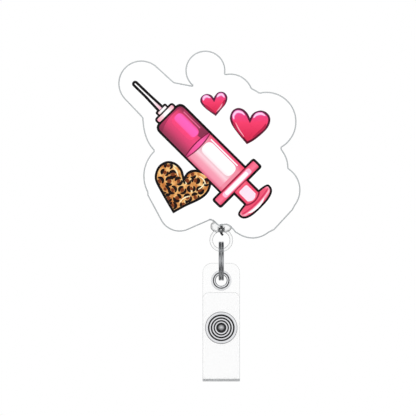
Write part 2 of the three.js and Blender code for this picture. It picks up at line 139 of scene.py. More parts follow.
def arc(a, b, radius, start, end, step=4):
    """Points on an arc round (a, b), from one angle in degrees to another."""
    count = max(2, round(abs(end - start) / step))
    angles = [math.radians(start + (end - start) * i / count) for i in range(count + 1)]
    return [(a + radius * math.cos(angle), b + radius * math.sin(angle)) for angle in angles]


def bend(first, middle, last, steps=10):
    """Points on a quadratic curve."""
    first, middle, last = Vector(first), Vector(middle), Vector(last)
    shares = [i / steps for i in range(steps + 1)]
    return [tuple(first * (1 - t) ** 2 + middle * 2 * t * (1 - t) + last * t * t) for t in shares]


def rounded(points, radius, closed=True, steps=4):
    """The same line with its corners rounded as far as their sides allow."""
    result = []
    for i, point in enumerate(points):
        here = Vector(point)
        before = Vector(points[i - 1]) - here
        after = Vector(points[(i + 1) % len(points)]) - here
        is_end = not closed and i in (0, len(points) - 1)
        if is_end or before.length < 1e-6 or after.length < 1e-6 or before.angle(after) > math.radians(168):
            result.append(tuple(here))
            continue
        reach = min(radius / math.tan(before.angle(after) / 2), before.length * 0.45, after.length * 0.45)
        start = here + before.normalized() * reach
        end = here + after.normalized() * reach
        result += bend(start, here, end, steps)
    return result


def smooth_line(points, steps=8):
    """A smooth open line through the points."""
    points = [Vector(point) for point in points]
    padded = [points[0] * 2 - points[1], *points, points[-1] * 2 - points[-2]]
    result = []
    for p0, p1, p2, p3 in zip(padded, padded[1:], padded[2:], padded[3:]):
        for k in range(steps):
            t = k / steps
            ahead = (p2 - p0) * t
            curve = (p0 * 2 - p1 * 5 + p2 * 4 - p3) * t ** 2
            twist = (p1 * 3 - p0 - p2 * 3 + p3) * t ** 3
            result.append(tuple(p1 + (ahead + curve + twist) / 2))
    return result + [tuple(points[-1])]


def signed_area(points):
    pairs = zip(points, [*points[1:], points[0]])
    return sum(a[0] * b[1] - b[0] * a[1] for a, b in pairs) / 2


def distance_to(point, outline):
    """The distance from a point to the nearest side of an outline."""
    point = Vector(point)
    nearest = math.inf
    for first, second in zip(outline, [*outline[1:], outline[0]]):
        first, second = Vector(first), Vector(second)
        side = second - first
        share = min(max((point - first).dot(side) / max(side.dot(side), 1e-12), 0), 1)
        nearest = min(nearest, (first + side * share - point).length)
    return nearest


def turned_left(outline):
    """The outline in the order that has its inside on the left."""
    return outline if signed_area(outline) > 0 else outline[::-1]


def sideways(points, distance, closed):
    """Moves each point of a line to the left of its travel."""
    result = []
    for i, point in enumerate(points):
        here = Vector(point)
        arriving = (here - Vector(points[i - 1])).normalized() if closed or i > 0 else None
        after = points[(i + 1) % len(points)]
        leaving = (Vector(after) - here).normalized() if closed or i < len(points) - 1 else None
        arriving, leaving = arriving or leaving, leaving or arriving
        along = (arriving + leaving).normalized()
        reach = distance / max(along.dot(arriving), 0.35)
        result.append((here.x - along.y * reach, here.y + along.x * reach))
    return result


def shifted(outline, distance):
    """Shrinks an outline by the distance, or grows it. Points that would make loops are dropped."""
    outline = turned_left(outline)
    moved = sideways(outline, distance, True)
    return [point for point in moved if distance_to(point, outline) > abs(distance) * 0.97]


def strip(points, thickness):
    """The outline of a strip of even thickness that follows a line."""
    left = sideways(points, thickness / 2, False)
    right = sideways(points, -thickness / 2, False)
    return left + right[::-1]


def rectangle(left, right, bottom, top, radius=0.0, steps=5):
    corners = [(left, bottom), (right, bottom), (right, top), (left, top)]
    return rounded(corners, radius, steps=steps) if radius else corners


# ---------------------------------------------------------------- solids

PLANES = {
    "X": lambda a, b, height: (height, a, b),
    "Y": lambda a, b, height: (a, height, b),
    "Z": lambda a, b, height: (a, b, height),
}


def solid(name, points, faces):
    mesh = bpy.data.meshes.new(name)
    mesh.from_pydata([tuple(point) for point in points], [], faces)
    obj = bpy.data.objects.new(name, mesh)
    scene.collection.objects.link(obj)
    clean(mesh)
    return obj


def clean(mesh):
    """Merges points that coincide and turns every face outwards."""
    work = bmesh.new()
    work.from_mesh(mesh)
    bmesh.ops.remove_doubles(work, verts=work.verts, dist=1e-5)
    bmesh.ops.recalc_face_normals(work, faces=work.faces)
    work.to_mesh(mesh)
    work.free()


def skin(name, rings, ring_closed=True, loop=False):
    """Faces between rings of equally many points. A skin that isn't a loop gets a cap at each end."""
    size = len(rings[0])
    points = [point for ring in rings for point in ring]
    faces = []
    for i in range(len(rings) if loop else len(rings) - 1):
        following = (i + 1) % len(rings)
        for j in range(size if ring_closed else size - 1):
            k = (j + 1) % size
            faces.append((i * size + j, i * size + k, following * size + k, following * size + j))
    if not loop:
        faces.append(tuple(range(size)))
        faces.append(tuple(range(len(points) - size, len(points))))
    return solid(name, points, faces)


def slab(name, outline, low, high, axis="Y"):
    """An outline given thickness along an axis."""
    place = PLANES[axis]
    rings = [[place(a, b, height) for a, b in outline] for height in (low, high)]
    return skin(name, rings)


def chamfered(name, outline, low, high, edge):
    """A slab along Y whose front and back edges are cut away at a slant."""
    outline = turned_left(outline)
    inner = sideways(outline, edge, True)
    levels = [(inner, low), (outline, low + edge), (outline, high - edge), (inner, high)]
    return skin(name, [[PLANES["Y"](a, b, height) for a, b in points] for points, height in levels])


def turned(name, profile, axis="Y", centre=(0, 0, 0), segments=128, radius=0.0, flatten=1.0):
    """A profile of (radius, height) pairs turned about an axis. One that ends where it starts is a ring."""
    is_ring = profile[0] == profile[-1]
    profile = profile[:-1] if is_ring else profile
    profile = rounded(profile, radius, closed=is_ring, steps=3) if radius else profile
    place = PLANES[axis]
    rings = []
    for i in range(segments):
        angle = 2 * math.pi * i / segments
        spread = (math.cos(angle), math.sin(angle) * flatten)
        ring = [Vector(place(r * spread[0], r * spread[1], height)) for r, height in profile]
        rings.append([point + Vector(centre) for point in ring])
    return skin(name, rings, ring_closed=is_ring, loop=True)


def rod(radius, low, high):
    """The profile of a plain cylinder."""
    return [(0, low), (radius, low), (radius, high), (0, high)]


def swept(name, path, section, round_ends=False):
    """A closed section carried along a path, with its tilt carried on from point to point."""
    path = [Vector(point) for point in path]
    side = Vector((0.3, 1, 0.2))
    rings = []
    for i, point in enumerate(path):
        along = (path[min(i + 1, len(path) - 1)] - path[max(i - 1, 0)]).normalized()
        side = (side - along * side.dot(along)).normalized()
        other = along.cross(side)
        rings.append([point + side * a + other * b for a, b in section])
    if round_ends:
        rings = [cap_ring(rings[0], path[0] - path[1]), *rings, cap_ring(rings[-1], path[-1] - path[-2])]
    return skin(name, rings)


def cap_ring(ring, outwards):
    """A smaller ring a little past the end of a tube, which rounds it off."""
    centre = sum(ring, Vector()) / len(ring)
    step = outwards.normalized() * (ring[0] - centre).length * 0.35
    return [centre + (point - centre) * 0.6 + step for point in ring]


def circle(radius, sides=16):
    return arc(0, 0, radius, 0, 360 - 360 / sides, 360 / sides)


def apply_modifiers(obj):
    graph = bpy.context.evaluated_depsgraph_get()
    mesh = bpy.data.meshes.new_from_object(obj.evaluated_get(graph))
    before = obj.data
    obj.modifiers.clear()
    obj.data = mesh
    mesh.name = before.name
    bpy.data.meshes.remove(before)
    return obj


def combined(operation, first, *others):
    for other in others:
        modifier = first.modifiers.new("combine", "BOOLEAN")
        modifier.operation = operation
        modifier.solver = "EXACT"
        modifier.use_self = operation == "INTERSECT"
        modifier.object = other
        apply_modifiers(first)
        bpy.data.objects.remove(other)
    return first


def join(first, *others):
    return combined("UNION", first, *others)


def cut(first, *others):
    return combined("DIFFERENCE", first, *others)


def common(first, *others):
    return combined("INTERSECT", first, *others)


def softened(obj, width, segments=2, angle=38):
    """Rounds the edges that are sharper than the angle."""
    modifier = obj.modifiers.new("edges", "BEVEL")
    modifier.width = width
    modifier.segments = segments
    modifier.limit_method = "ANGLE"
    modifier.angle_limit = math.radians(angle)
    return apply_modifiers(obj)


def fused(obj, voxel, rounds):
    """Melts joined shapes into one moulded surface."""
    remesh = obj.modifiers.new("remesh", "REMESH")
    remesh.mode = "VOXEL"
    remesh.voxel_size = voxel
    smoothing = obj.modifiers.new("smooth", "CORRECTIVE_SMOOTH")
    smoothing.iterations = rounds
    smoothing.use_only_smooth = True
    return apply_modifiers(obj)


def several(name, parts):
    """Separate solids that are kept as one piece."""
    points = []
    faces = []
    for part in parts:
        start = len(points)
        points += [tuple(vertex.co) for vertex in part.data.vertices]
        faces += [tuple(start + i for i in face.vertices) for face in part.data.polygons]
        bpy.data.objects.remove(part)
    return solid(name, points, faces)


# ---------------------------------------------------------------- handing pieces to the frame


def dressed(obj, material, nodes, crease):
    """Scales a solid to metres, gives it soft shading and a material, and hides the CAD parts that it
    stands for.
    """
    obj.data.transform(Matrix.Scale(MM, 4))
    work = bmesh.new()
    work.from_mesh(obj.data)
    for face in work.faces:
        face.smooth = True
    for edge in work.edges:
        edge.smooth = edge.calc_face_angle(0) < math.radians(crease)
    work.to_mesh(obj.data)
    work.free()
    obj.data.materials.clear()
    obj.data.materials.append(material)
    if nodes:
        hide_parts(*nodes)
    return obj


def rigid(obj, body, material, slot, *nodes, crease=32):
    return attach(dressed(obj, material, nodes, crease), body)


def flexible(obj, bodies, start, end, material, slot, *nodes, crease=32):
    dressed(obj, material, nodes, crease)
    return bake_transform(obj)


# ---------------------------------------------------------------- materials

# The cut-edge share places the painted edge shade of the clear acrylic and the vinyl.
CUT_EDGE = "cut_edge"        # name of the share that mark_edges stores


def srgb(red, green, blue):
    """Screen values from 0 to 255 as a linear colour."""
    shares = [value / 255 for value in (red, green, blue)]
    linear = [s / 12.92 if s <= 0.04045 else ((s + 0.055) / 1.055) ** 2.4 for s in shares]
    return (*linear, 1)


def new_material(name, color, roughness, **sockets):
    material = bpy.data.materials.new(name)
    material.use_nodes = True
    shader = material.node_tree.nodes["Principled BSDF"]
    shader.inputs["Base Color"].default_value = color
    shader.inputs["Roughness"].default_value = roughness
    for socket, value in sockets.items():
        shader.inputs[socket.replace("_", " ")].default_value = value
    return material


def add_node(material, kind, inputs, **settings):
    """Adds a node. Each input is a value, or another node's output."""
    added = material.node_tree.nodes.new(kind)
    for key, value in settings.items():
        setattr(added, key, value)
    for key, value in inputs.items():
        if isinstance(value, bpy.types.NodeSocket):
            material.node_tree.links.new(value, added.inputs[key])
        else:
            added.inputs[key].default_value = value
    return added


def feed(material, socket, output):
    shader = material.node_tree.nodes["Principled BSDF"]
    material.node_tree.links.new(output, shader.inputs[socket])


def millimetres(material, stretch=(1, 1, 1)):
    """The point on the object, in millimetres."""
    where = add_node(material, "ShaderNodeTexCoord", {})
    scale = tuple(value / MM for value in stretch)
    scaled = add_node(material, "ShaderNodeVectorMath", {0: where.outputs["Object"], 1: scale},
                      operation="MULTIPLY")
    return scaled.outputs["Vector"]


def noise(material, size, detail=3, stretch=(1, 1, 1)):
    """Noise whose lumps are about the given size in millimetres."""
    inputs = {"Vector": millimetres(material, stretch), "Scale": 1 / size, "Detail": detail}
    return add_node(material, "ShaderNodeTexNoise", inputs).outputs["Fac"]


def ranged(material, factor, low, high):
    inputs = {"Value": factor, "From Min": 0.3, "From Max": 0.7, "To Min": low, "To Max": high}
    return add_node(material, "ShaderNodeMapRange", inputs).outputs["Result"]


def mixed(material, factor, first, second, blend_type="MIX"):
    inputs = {"Factor": factor, "A": first, "B": second}
    added = material.node_tree.nodes.new("ShaderNodeMix")
    added.data_type = "RGBA"
    added.blend_type = blend_type
    for key, value in inputs.items():
        socket = next(s for s in added.inputs if s.name == key and s.enabled)
        if isinstance(value, bpy.types.NodeSocket):
            material.node_tree.links.new(value, socket)
        else:
            socket.default_value = value
    return next(s for s in added.outputs if s.enabled)


def bumped(material, height, depth):
    """Surface relief. The depth is in millimetres."""
    inputs = {"Height": height, "Distance": depth * MM, "Strength": 1}
    feed(material, "Normal", add_node(material, "ShaderNodeBump", inputs).outputs["Normal"])


def ramp(material, factor, stops):
    """A colour ramp. Stops are (position, colour) with positions in rising order."""
    added = add_node(material, "ShaderNodeValToRGB", {"Fac": factor})
    elements = added.color_ramp.elements
    while len(elements) < len(stops):
        elements.new(0.5)
    for element, (position, color) in zip(elements, stops):
        element.position = position
        element.color = color
    return added.outputs["Color"]


def speckled(name, color, other, size, roughness, rough_range, relief, **sockets):
    """A colour that drifts towards another, with uneven gloss and fine relief."""
    material = new_material(name, color, roughness, **sockets)
    feed(material, "Base Color", mixed(material, noise(material, size), color, other))
    feed(material, "Roughness", ranged(material, noise(material, size * 0.6, 4), *rough_range))
    bumped(material, noise(material, relief[0], 2), relief[1])
    return material


def nickel_plate():
    """Bright plating with faint polishing marks."""
    material = new_material("nickel_plate", srgb(226, 227, 229), 0.16, Metallic=1)
    streaks = noise(material, 0.5, 4, stretch=(1, 1, 0.12))
    feed(material, "Roughness", ranged(material, streaks, 0.08, 0.16))
    tint = mixed(material, noise(material, 4), srgb(240, 241, 243), srgb(222, 223, 226))
    feed(material, "Base Color", tint)
    bumped(material, noise(material, 1.2, 1), 0.01)
    return material


def satin_steel():
    """Drawn wire that has been tumbled: a soft grey sheen with fine lengthwise marks."""
    material = new_material("satin_steel", srgb(186, 188, 191), 0.3, Metallic=1)
    marks = noise(material, 0.35, 3, stretch=(1, 0.2, 0.2))
    feed(material, "Roughness", ranged(material, marks, 0.26, 0.4))
    drift = noise(material, 0.5, 2, stretch=(1, 0.1, 0.1))
    feed(material, "Base Color", mixed(material, drift, srgb(168, 170, 173), srgb(202, 204, 207)))
    return material


def spring_steel():
    material = new_material("spring_steel", srgb(140, 146, 155), 0.3, Metallic=1)
    feed(material, "Roughness", ranged(material, noise(material, 0.3, 4, (1, 0.1, 1)), 0.22, 0.42))
    tint = mixed(material, noise(material, 2), srgb(150, 154, 162), srgb(108, 116, 132))
    feed(material, "Base Color", tint)
    return material


def braided_cord():
    """Black braid: two sets of slanted threads that cross round the cord."""
    material = new_material("braided_cord", srgb(26, 26, 28), 0.75, Sheen_Weight=0.4, Sheen_Roughness=0.4)
    where = millimetres(material)
    waves = []
    for slant in (1, -1):
        turn = add_node(material, "ShaderNodeMapping",
                        {"Vector": where, "Rotation": (0, slant * math.radians(40), 0.4)})
        inputs = {"Vector": turn.outputs["Vector"], "Scale": 1.2, "Distortion": 0.4}
        waves.append(add_node(material, "ShaderNodeTexWave", inputs, bands_direction="Z").outputs["Fac"])
    crossing = add_node(material, "ShaderNodeMath", {0: waves[0], 1: waves[1]}, operation="MAXIMUM")
    threads = crossing.outputs["Value"]
    feed(material, "Base Color", ramp(material, threads, [(0, srgb(12, 12, 13)), (1, srgb(52, 52, 56))]))
    bumped(material, threads, 0.05)
    return material


def see_through(name, clear, edge, alphas, roughness, wave, share_of, limits):
    """Clear plastic, nearly invisible where its share is at the lower limit and grey at the upper.
    The grey is painted edge shade. It stands in for the dark rims that clear plastic shows by refraction.
    """
    material = new_material(name, clear, roughness, IOR=1.45)
    share = share_of(material)
    cloud = noise(material, wave, 2)
    feed(material, "Base Color", ramp(material, share, list(zip(limits, (clear, edge)))))
    greys = [(limit, (alpha, alpha, alpha, 1)) for limit, alpha in zip(limits, alphas)]
    feed(material, "Alpha", ramp(material, share, greys))
    feed(material, "Roughness", ranged(material, cloud, roughness, roughness * 2.2))
    bumped(material, cloud, 0.02)
    return material


def cut_edge(material):
    """The share that mark_edges stored on the mesh."""
    return add_node(material, "ShaderNodeAttribute", {}, attribute_name=CUT_EDGE).outputs["Fac"]


def thick_rim(material):
    """Round mouldings gather light like a lens, so their rims look dark from every side. This share is
    where that dark is painted into the colour as edge shade.
    """
    return add_node(material, "ShaderNodeLayerWeight", {"Blend": 0.5}).outputs["Facing"]


def mark_edges(sheet):
    """Stores how far each face turns from the sheet's plane: 0 on it, 1 on cut edges and the fold. The
    share places the painted edge shade.
    """
    share = sheet.data.attributes.new(CUT_EDGE, "FLOAT", "FACE")
    share.data.foreach_set("value", [1 - abs(face.normal.y) for face in sheet.data.polygons])
    return sheet


def ink(name, direction, stops):
    """Glossy print. Its colour changes along a direction in the plate's plane; stops are (mm, colour)."""
    material = new_material(name, stops[0][1], 0.3, Specular_IOR_Level=0.12)
    flat = (direction[0], 0, direction[1])
    where = add_node(material, "ShaderNodeVectorMath", {0: millimetres(material), 1: flat},
                     operation="DOT_PRODUCT").outputs["Value"]
    low, high = stops[0][0], stops[-1][0]
    inputs = {"Value": where, "From Min": low, "From Max": high, "To Min": 0, "To Max": 1}
    share = add_node(material, "ShaderNodeMapRange", inputs).outputs["Result"]
    color = ramp(material, share, [((mm - low) / (high - low), shade) for mm, shade in stops])
    grain = ranged(material, noise(material, 0.25, 2), 0.97, 1.0)
    grey = add_node(material, "ShaderNodeCombineColor", {"Red": grain, "Green": grain, "Blue": grain})
    feed(material, "Base Color", mixed(material, 1.0, color, grey.outputs["Color"], "MULTIPLY"))
    feed(material, "Roughness", ranged(material, noise(material, 1.5), 0.24, 0.36))
    return material


WHITE = srgb(252, 252, 252)

# The grey edge colours of these three clear plastics are painted edge shade.
acrylic = see_through("acrylic", srgb(240, 243, 244), srgb(182, 186, 188), (0.15, 0.85), 0.06, 12,
                      cut_edge, (0.02, 0.3))
vinyl = see_through("vinyl", srgb(220, 222, 223), srgb(158, 161, 163), (0.02, 0.85), 0.12, 3,
                    cut_edge, (0.04, 0.5))
moulded_clear = see_through("moulded_clear", srgb(236, 238, 239), srgb(78, 81, 83), (0.06, 0.9), 0.08,
                            1.5, thick_rim, (0.16, 0.75))
white_film = speckled("white_film", WHITE, srgb(250, 250, 251), 6, 0.3, (0.28, 0.32), (0.6, 0.0004))
foam = speckled("foam", srgb(240, 240, 236), srgb(222, 222, 216), 0.5, 0.9, (0.8, 0.95), (0.25, 0.08))
black_shell = speckled("black_shell", srgb(24, 25, 27), srgb(31, 32, 34), 5, 0.32, (0.26, 0.42),
                       (0.12, 0.012))
grey_shell = speckled("grey_shell", srgb(186, 189, 193), srgb(172, 175, 180), 4, 0.5, (0.42, 0.6),
                      (0.2, 0.01))
nickel = nickel_plate()
steel = spring_steel()
ring_steel = satin_steel()
braid = braided_cord()

# ---------------------------------------------------------------- topper


def topper_outline():
    """The topper's edge, clockwise from the notch between its two upper lobes."""
    lower_left = arc(-14.6, 13.6, 11.95, 208, 134)
    right_lobe = arc(18.2, 8.9, 8.75, 58, -38)
    return rounded([
        (-16.1, 45.6),
        *arc(-5.4, 49.5, 6.8, 229, -8),
        *arc(3.1, 40.7, 7.8, 102, 22),
        *arc(15.4, 32.1, 10.2, 103, -60),
        *bend((20.6, 22.7), (22.9, 19.8), right_lobe[0])[:-1],
        *right_lobe,
        (24.4, 2.1),
        (18.1, -4.7),
        *arc(10.6, 1.1, 8.75, -52, -118),
        *bend((4.6, -5.5), (3, -3.2), (1.5, -3)),
        (-0.9, -3.4),
        (-3.55, -1.3),
        *arc(-14.2, 1.95, 7.25, -68, -155),
        (-25.2, 7.1),
        *lower_left,
        *bend(lower_left[-1], (-26.6, 25.8), (-26.9, 33.4))[1:],
        *arc(-27.2, 45.1, 7.85, 222, 50),
    ], 1.2)


def make_topper():
    outline = topper_outline()
    plate = mark_edges(chamfered("clear_plate", outline, PLATE_FRONT, PLATE_BACK, 0.4))
    rigid(plate, "reel", acrylic, "clear_acrylic", "topper_plate")
    film = slab("white_film", shifted(outline, DECAL_INSET), DECAL_FRONT, PLATE_FRONT - 0.01)
    rigid(film, "reel", white_film, "white_print", "printed_decal")
    low = PLATE_BACK + GAP
    high = CORD_Y - REEL_HALF - GAP
    pad = turned("foam_pad", rod(PAD_RADIUS, low, high), centre=(0, 0, REEL_Z), radius=0.2)
    rigid(pad, "reel", foam, "white_foam", "adhesive_pad")


def plain_ink(name, color):
    return ink(name, (0, 1), [(-60, srgb(*color)), (60, srgb(*color))])


def printed(name, outline, level, material):
    """One colour of print, as a film that lies on the colours under it."""
    front = DECAL_FRONT - INK_STEP * level
    piece = slab(name, outline, front, DECAL_FRONT + INK_ROOT)
    return rigid(piece, "reel", material, "white_print")


def painted(name, outline, level, *color):
    """Print in one plain colour, given as screen values."""
    return printed(name, outline, level, plain_ink(name + "_ink", color))


# ---------------------------------------------------------------- the print: syringe

SYRINGE_START = Vector((-29.6, 45.6))
SYRINGE_ANGLE = math.radians(-44.8)
ALONG = Vector((math.cos(SYRINGE_ANGLE), math.sin(SYRINGE_ANGLE)))
ACROSS = Vector((-math.sin(SYRINGE_ANGLE), math.cos(SYRINGE_ANGLE)))

# The outlines below are in millimetres along the syringe from the tip of its needle, and across it.
NEAR_MENISCUS = (30.0, -5.6), (28.6, 0), (30.0, 5.6)
FAR_MENISCUS = (30.9, 5.6), (32.4, 0), (30.9, -5.6)


def on_syringe(points):
    return [tuple(SYRINGE_START + ALONG * s + ACROSS * t) for s, t in points]


def band(s0, s1, t0, t1, radius=0.0):
    """A rounded box in the syringe's own directions: along it, then across it."""
    return on_syringe(rectangle(s0, s1, t0, t1, radius))


def between(first, second):
    """The shape enclosed by two curves, each given by its ends and its middle control point."""
    return on_syringe([*bend(*first, 12), *bend(*second, 12)])


def shaded(name, outline, level, direction, stops):
    """Print graded along the syringe or across it, with stops of (mm on the syringe, screen values)."""
    start = SYRINGE_START.dot(direction)
    colors = [(start + mm, srgb(*color)) for mm, color in stops]
    return printed(name, outline, level, ink(name + "_ink", direction, colors))


def needle_shape(margin):
    """A blunt needle that widens a little towards its hub."""
    tip = arc(0.7, -0.23, 0.87 - margin, 90, 270, 15)
    low = [(6.5, -1.05 + margin), (12.9, -1.33 + margin)]
    high = [(12.9, 1.0 - margin), (6.5, 0.74 - margin)]
    return on_syringe([*tip, *low, *high])


def barrel_shape(margin):
    left, low, high = 15.9 + margin, -6.1 + margin, 6.2 - margin
    corner = 2.4 - margin
    return on_syringe([
        (47.3, low),
        *bend((left + corner, low), (left, low), (left, low + corner), 6),
        *bend((left, high - corner), (left, high), (left + corner, high), 6),
        (47.3, high),
    ])


def disc_shape(margin):
    """The thumb disc, seen a little from above: nearly flat towards the rod and full on its far side."""
    outline = []
    for i in range(32):
        angle = math.radians(-90 + 360 * i / 32)
        turn = (math.cos(angle), math.sin(angle))
        along, side = [math.copysign(abs(part) ** 0.75, part) for part in turn]
        reach = 3.1 if along > 0 else 1.4
        outline.append((57.4 + (reach - margin) * along, 0.1 + (7.2 - margin) * side))
    return on_syringe(outline)


def rod_shape(start, side, end, corner=0.05):
    """The plunger's rod, whose round end stands in front of the disc. Its outline is drawn in by the
    margins at the sides and at the end."""
    low, high = -3.1 + side, 3.6 - side
    first = bend((start, low + corner), (start, low), (start + corner, low), 5)
    last = bend((start + corner, high), (start, high), (start, high - corner), 5)
    round_end = bend((56.9 - end, low), (58.9 - 1.1 * end, 0.25), (56.9 - end, high), 12)
    return on_syringe([*first, *round_end, *last])


def make_syringe_lines():
    """Every dark outline of the syringe and the spotted heart, joined into one film."""
    outlines = [
        needle_shape(0),
        band(12.6, 14.2, -2.3, 2.1, 0.5),
        band(14.0, 16.3, -4.2, 4.0, 1.0),
        barrel_shape(0),
        band(47.1, 51.0, -9.7, 10.1, 0.8),
        band(50.6, 57.0, -3.1, 3.6),
        disc_shape(0),
        leopard_shape(0),
    ]
    front = DECAL_FRONT - INK_STEP
    back = DECAL_FRONT + INK_ROOT
    lines = join(*[slab("line", shifted(outline, -LINE_GROWTH), front, back) for outline in outlines])
    lines.name = "print_lines"
    rigid(lines, "reel", plain_ink("line_ink", (14, 9, 12)), "white_print")


def make_needle():
    shaded("print_needle", needle_shape(0.67), 2, ALONG, [
        (0, (255, 255, 255)), (9, (255, 250, 252)), (12.6, (250, 193, 211))])
    small = band(13.1, 13.95, -1.8, 1.65, 0.3)
    large = band(14.5, 15.8, -3.7, 3.5, 0.55)
    for name, outline in (("print_collar_small", small), ("print_collar_large", large)):
        shaded(name, outline, 2, ACROSS, [
            (-4, (250, 150, 175)), (-1.6, (253, 216, 221)), (-0.6, (255, 250, 251)),
            (1.2, (255, 250, 251)), (2.2, (253, 216, 221)), (4, (250, 160, 182))])


def make_liquid():
    low_corner = bend((16.5, -3.7), (16.5, -5.5), (18.3, -5.5), 5)
    high_corner = bend((18.3, 5.6), (16.5, 5.6), (16.5, 3.8), 5)
    body = on_syringe([*low_corner, *bend(*NEAR_MENISCUS, 12), *high_corner])
    shaded("print_liquid", body, 2, ACROSS, [
        (-5.6, (148, 54, 84)), (-4.8, (154, 56, 86)), (-2, (220, 66, 114)), (0.2, (240, 72, 126)),
        (3, (226, 68, 112)), (5, (146, 52, 82)), (5.6, (140, 50, 80))])
    inner_edge = bend((18.9, -5.5), (16.1, -1), (17.4, 5.5), 12)
    shaded("print_liquid_shade", on_syringe([*high_corner, *low_corner, *inner_edge]), 3, ACROSS, [
        (-5.6, (128, 44, 74)), (0, (196, 56, 100)), (5.6, (128, 44, 74))])
    fading_edge = bend((18.6, 5.0), (25, 4.6), (27.6, 2.2), 8)
    far_edge = bend((29.4, 2.4), (29.5, 4.4), (30.0, 5.55), 5)
    shaded("print_liquid_corner", on_syringe([*fading_edge, *far_edge, (18.6, 5.55)]), 4, ALONG, [
        (19, (172, 56, 92)), (29.5, (134, 48, 78))])
    shaded("print_liquid_glow", band(17.9, 28.1, -1.0, 4.0, 2.2), 5, ACROSS, [
        (-1.4, (240, 68, 118)), (0.5, (252, 72, 128)), (3.6, (244, 72, 130))])
    shaded("print_liquid_light", band(18.1, 27.8, 0.4, 3.7, 1.6), 6, ACROSS, [
        (0.4, (251, 84, 150)), (1.0, (253, 96, 180)), (3, (254, 101, 190)), (3.4, (246, 92, 176))])
    painted("print_liquid_streak", band(19, 27, 4.45, 4.85, 0.19), 6, 226, 104, 146)


def make_surface_of_liquid():
    painted("print_meniscus_line", between(NEAR_MENISCUS, FAR_MENISCUS), 5, 120, 22, 58)
    inside_line = between(((30.3, -5.6), (29.1, 0), (30.3, 5.6)), ((30.6, 5.6), (31.9, 0), (30.6, -5.6)))
    shaded("print_meniscus", inside_line, 6, ACROSS, [
        (-5.6, (190, 60, 110)), (-3, (240, 84, 150)), (2, (250, 96, 172)), (5.6, (200, 60, 112))])


def make_empty_barrel():
    tube = on_syringe([*bend(*FAR_MENISCUS, 12), (46.9, -5.6), (46.9, 5.6)])
    shaded("print_barrel", tube, 2, ACROSS, [
        (-5.6, (214, 92, 122)), (-4.5, (244, 150, 174)), (-3, (246, 162, 182)), (-1.5, (252, 214, 224)),
        (-1, (242, 198, 208)), (4.2, (240, 130, 158)), (5.1, (240, 90, 125)), (5.6, (228, 74, 110))])
    shaded("print_barrel_end", band(45.9, 47.2, -5.6, 5.6), 3, ACROSS, [
        (-5.6, (232, 96, 126)), (-4, (243, 140, 164)), (3, (243, 143, 165)), (5.6, (252, 62, 100))])
    shaded("print_barrel_light", band(32.0, 45.7, -0.7, 4.0, 2.1), 4, ACROSS, [
        (-0.7, (253, 236, 240)), (0.6, (255, 255, 255)), (4.2, (255, 252, 253))])
    painted("print_barrel_streak", band(32.2, 45, 4.3, 4.75, 0.2), 4, 255, 250, 252)


def make_plunger():
    shaded("print_flange", band(47.6, 50.4, -9.1, 9.5, 0.5), 4, ALONG, [
        (47.5, (214, 52, 90)), (48.1, (246, 104, 136)), (49.4, (250, 120, 150)), (50.3, (232, 74, 108))])
    painted("print_flange_halo", band(48.05, 49.95, -6.2, 6.7, 0.8), 5, 249, 190, 216)
    painted("print_flange_light", band(48.3, 49.7, -5.2, 5.3, 0.65), 6, 255, 250, 252)
    painted("print_flange_joint", band(47.15, 47.7, -5.5, 5.6), 5, 160, 24, 58)
    shaded("print_disc", disc_shape(0.5), 4, ACROSS, [
        (-7, (250, 176, 192)), (-5.6, (240, 92, 124)), (0, (238, 76, 110)), (5.6, (240, 92, 124)),
        (7.2, (250, 176, 194))])
    edge = between(((57.5, -6.3), (59.0, 0.1), (57.5, 6.5)), ((57.9, 6.2), (59.7, 0.1), (57.9, -6.0)))
    painted("print_disc_edge", edge, 5, 218, 58, 96)
    glow = between(((58.2, -6.2), (59.7, 0.1), (58.2, 6.4)), ((58.9, 5.9), (60.4, 0.1), (58.9, -5.7)))
    painted("print_disc_glow", glow, 6, 250, 178, 198)
    shine = between(((58.8, -4.3), (59.6, -0.6), (59, 3.2)), ((59.7, 2.2), (60.5, -0.6), (59.5, -3.8)))
    painted("print_disc_light", shine, 7, 255, 250, 252)
    painted("print_rod_end", rod_shape(56.3, 0.1, 0.1), 5, 150, 22, 60)
    shaded("print_rod", rod_shape(50.6, 0.55, 0.55), 6, ACROSS, [
        (-2.5, (226, 60, 96)), (-1.7, (244, 92, 122)), (2.3, (244, 92, 122)), (3, (226, 60, 96))])
    painted("print_rod_light", rod_shape(51.6, 1.45, 0.9, 0.8), 7, 250, 226, 243)


# ---------------------------------------------------------------- the print: hearts


def heart(notch, right_side, tip, left_side):
    """A heart from its notch clockwise. Only the notch and the tip are sharp."""
    return smooth_line([notch, *right_side, tip])[:-1] + smooth_line([tip, *left_side, notch])[:-1]


def small_heart():
    right_side = [(-2.0, 40.8), (-0.9, 41.9), (0.5, 42.0), (1.6, 41.1), (1.85, 39.8), (1.2, 38.1),
                  (-0.3, 36.3)]
    left_side = [(-4.9, 36.5), (-6.55, 38.2), (-6.95, 39.5), (-6.35, 40.7), (-5.0, 41.3), (-3.5, 40.9)]
    return heart((-2.5, 39.6), right_side, (-1.9, 34.3), left_side)


def big_heart():
    right_side = [(10.6, 34.4), (11.8, 35.3), (13.5, 35.7), (15.2, 35.1), (16.3, 33.7), (16.4, 32.0),
                  (15.4, 29.9), (13.2, 27.7), (10.9, 25.9)]
    left_side = [(6.3, 27.6), (4.1, 30.6), (3.2, 32.7), (3.25, 34.2), (4.1, 35.8), (5.7, 36.55),
                 (7.4, 36.1), (8.75, 34.8)]
    return heart((9.75, 32.8), right_side, (8.75, 24.7), left_side)


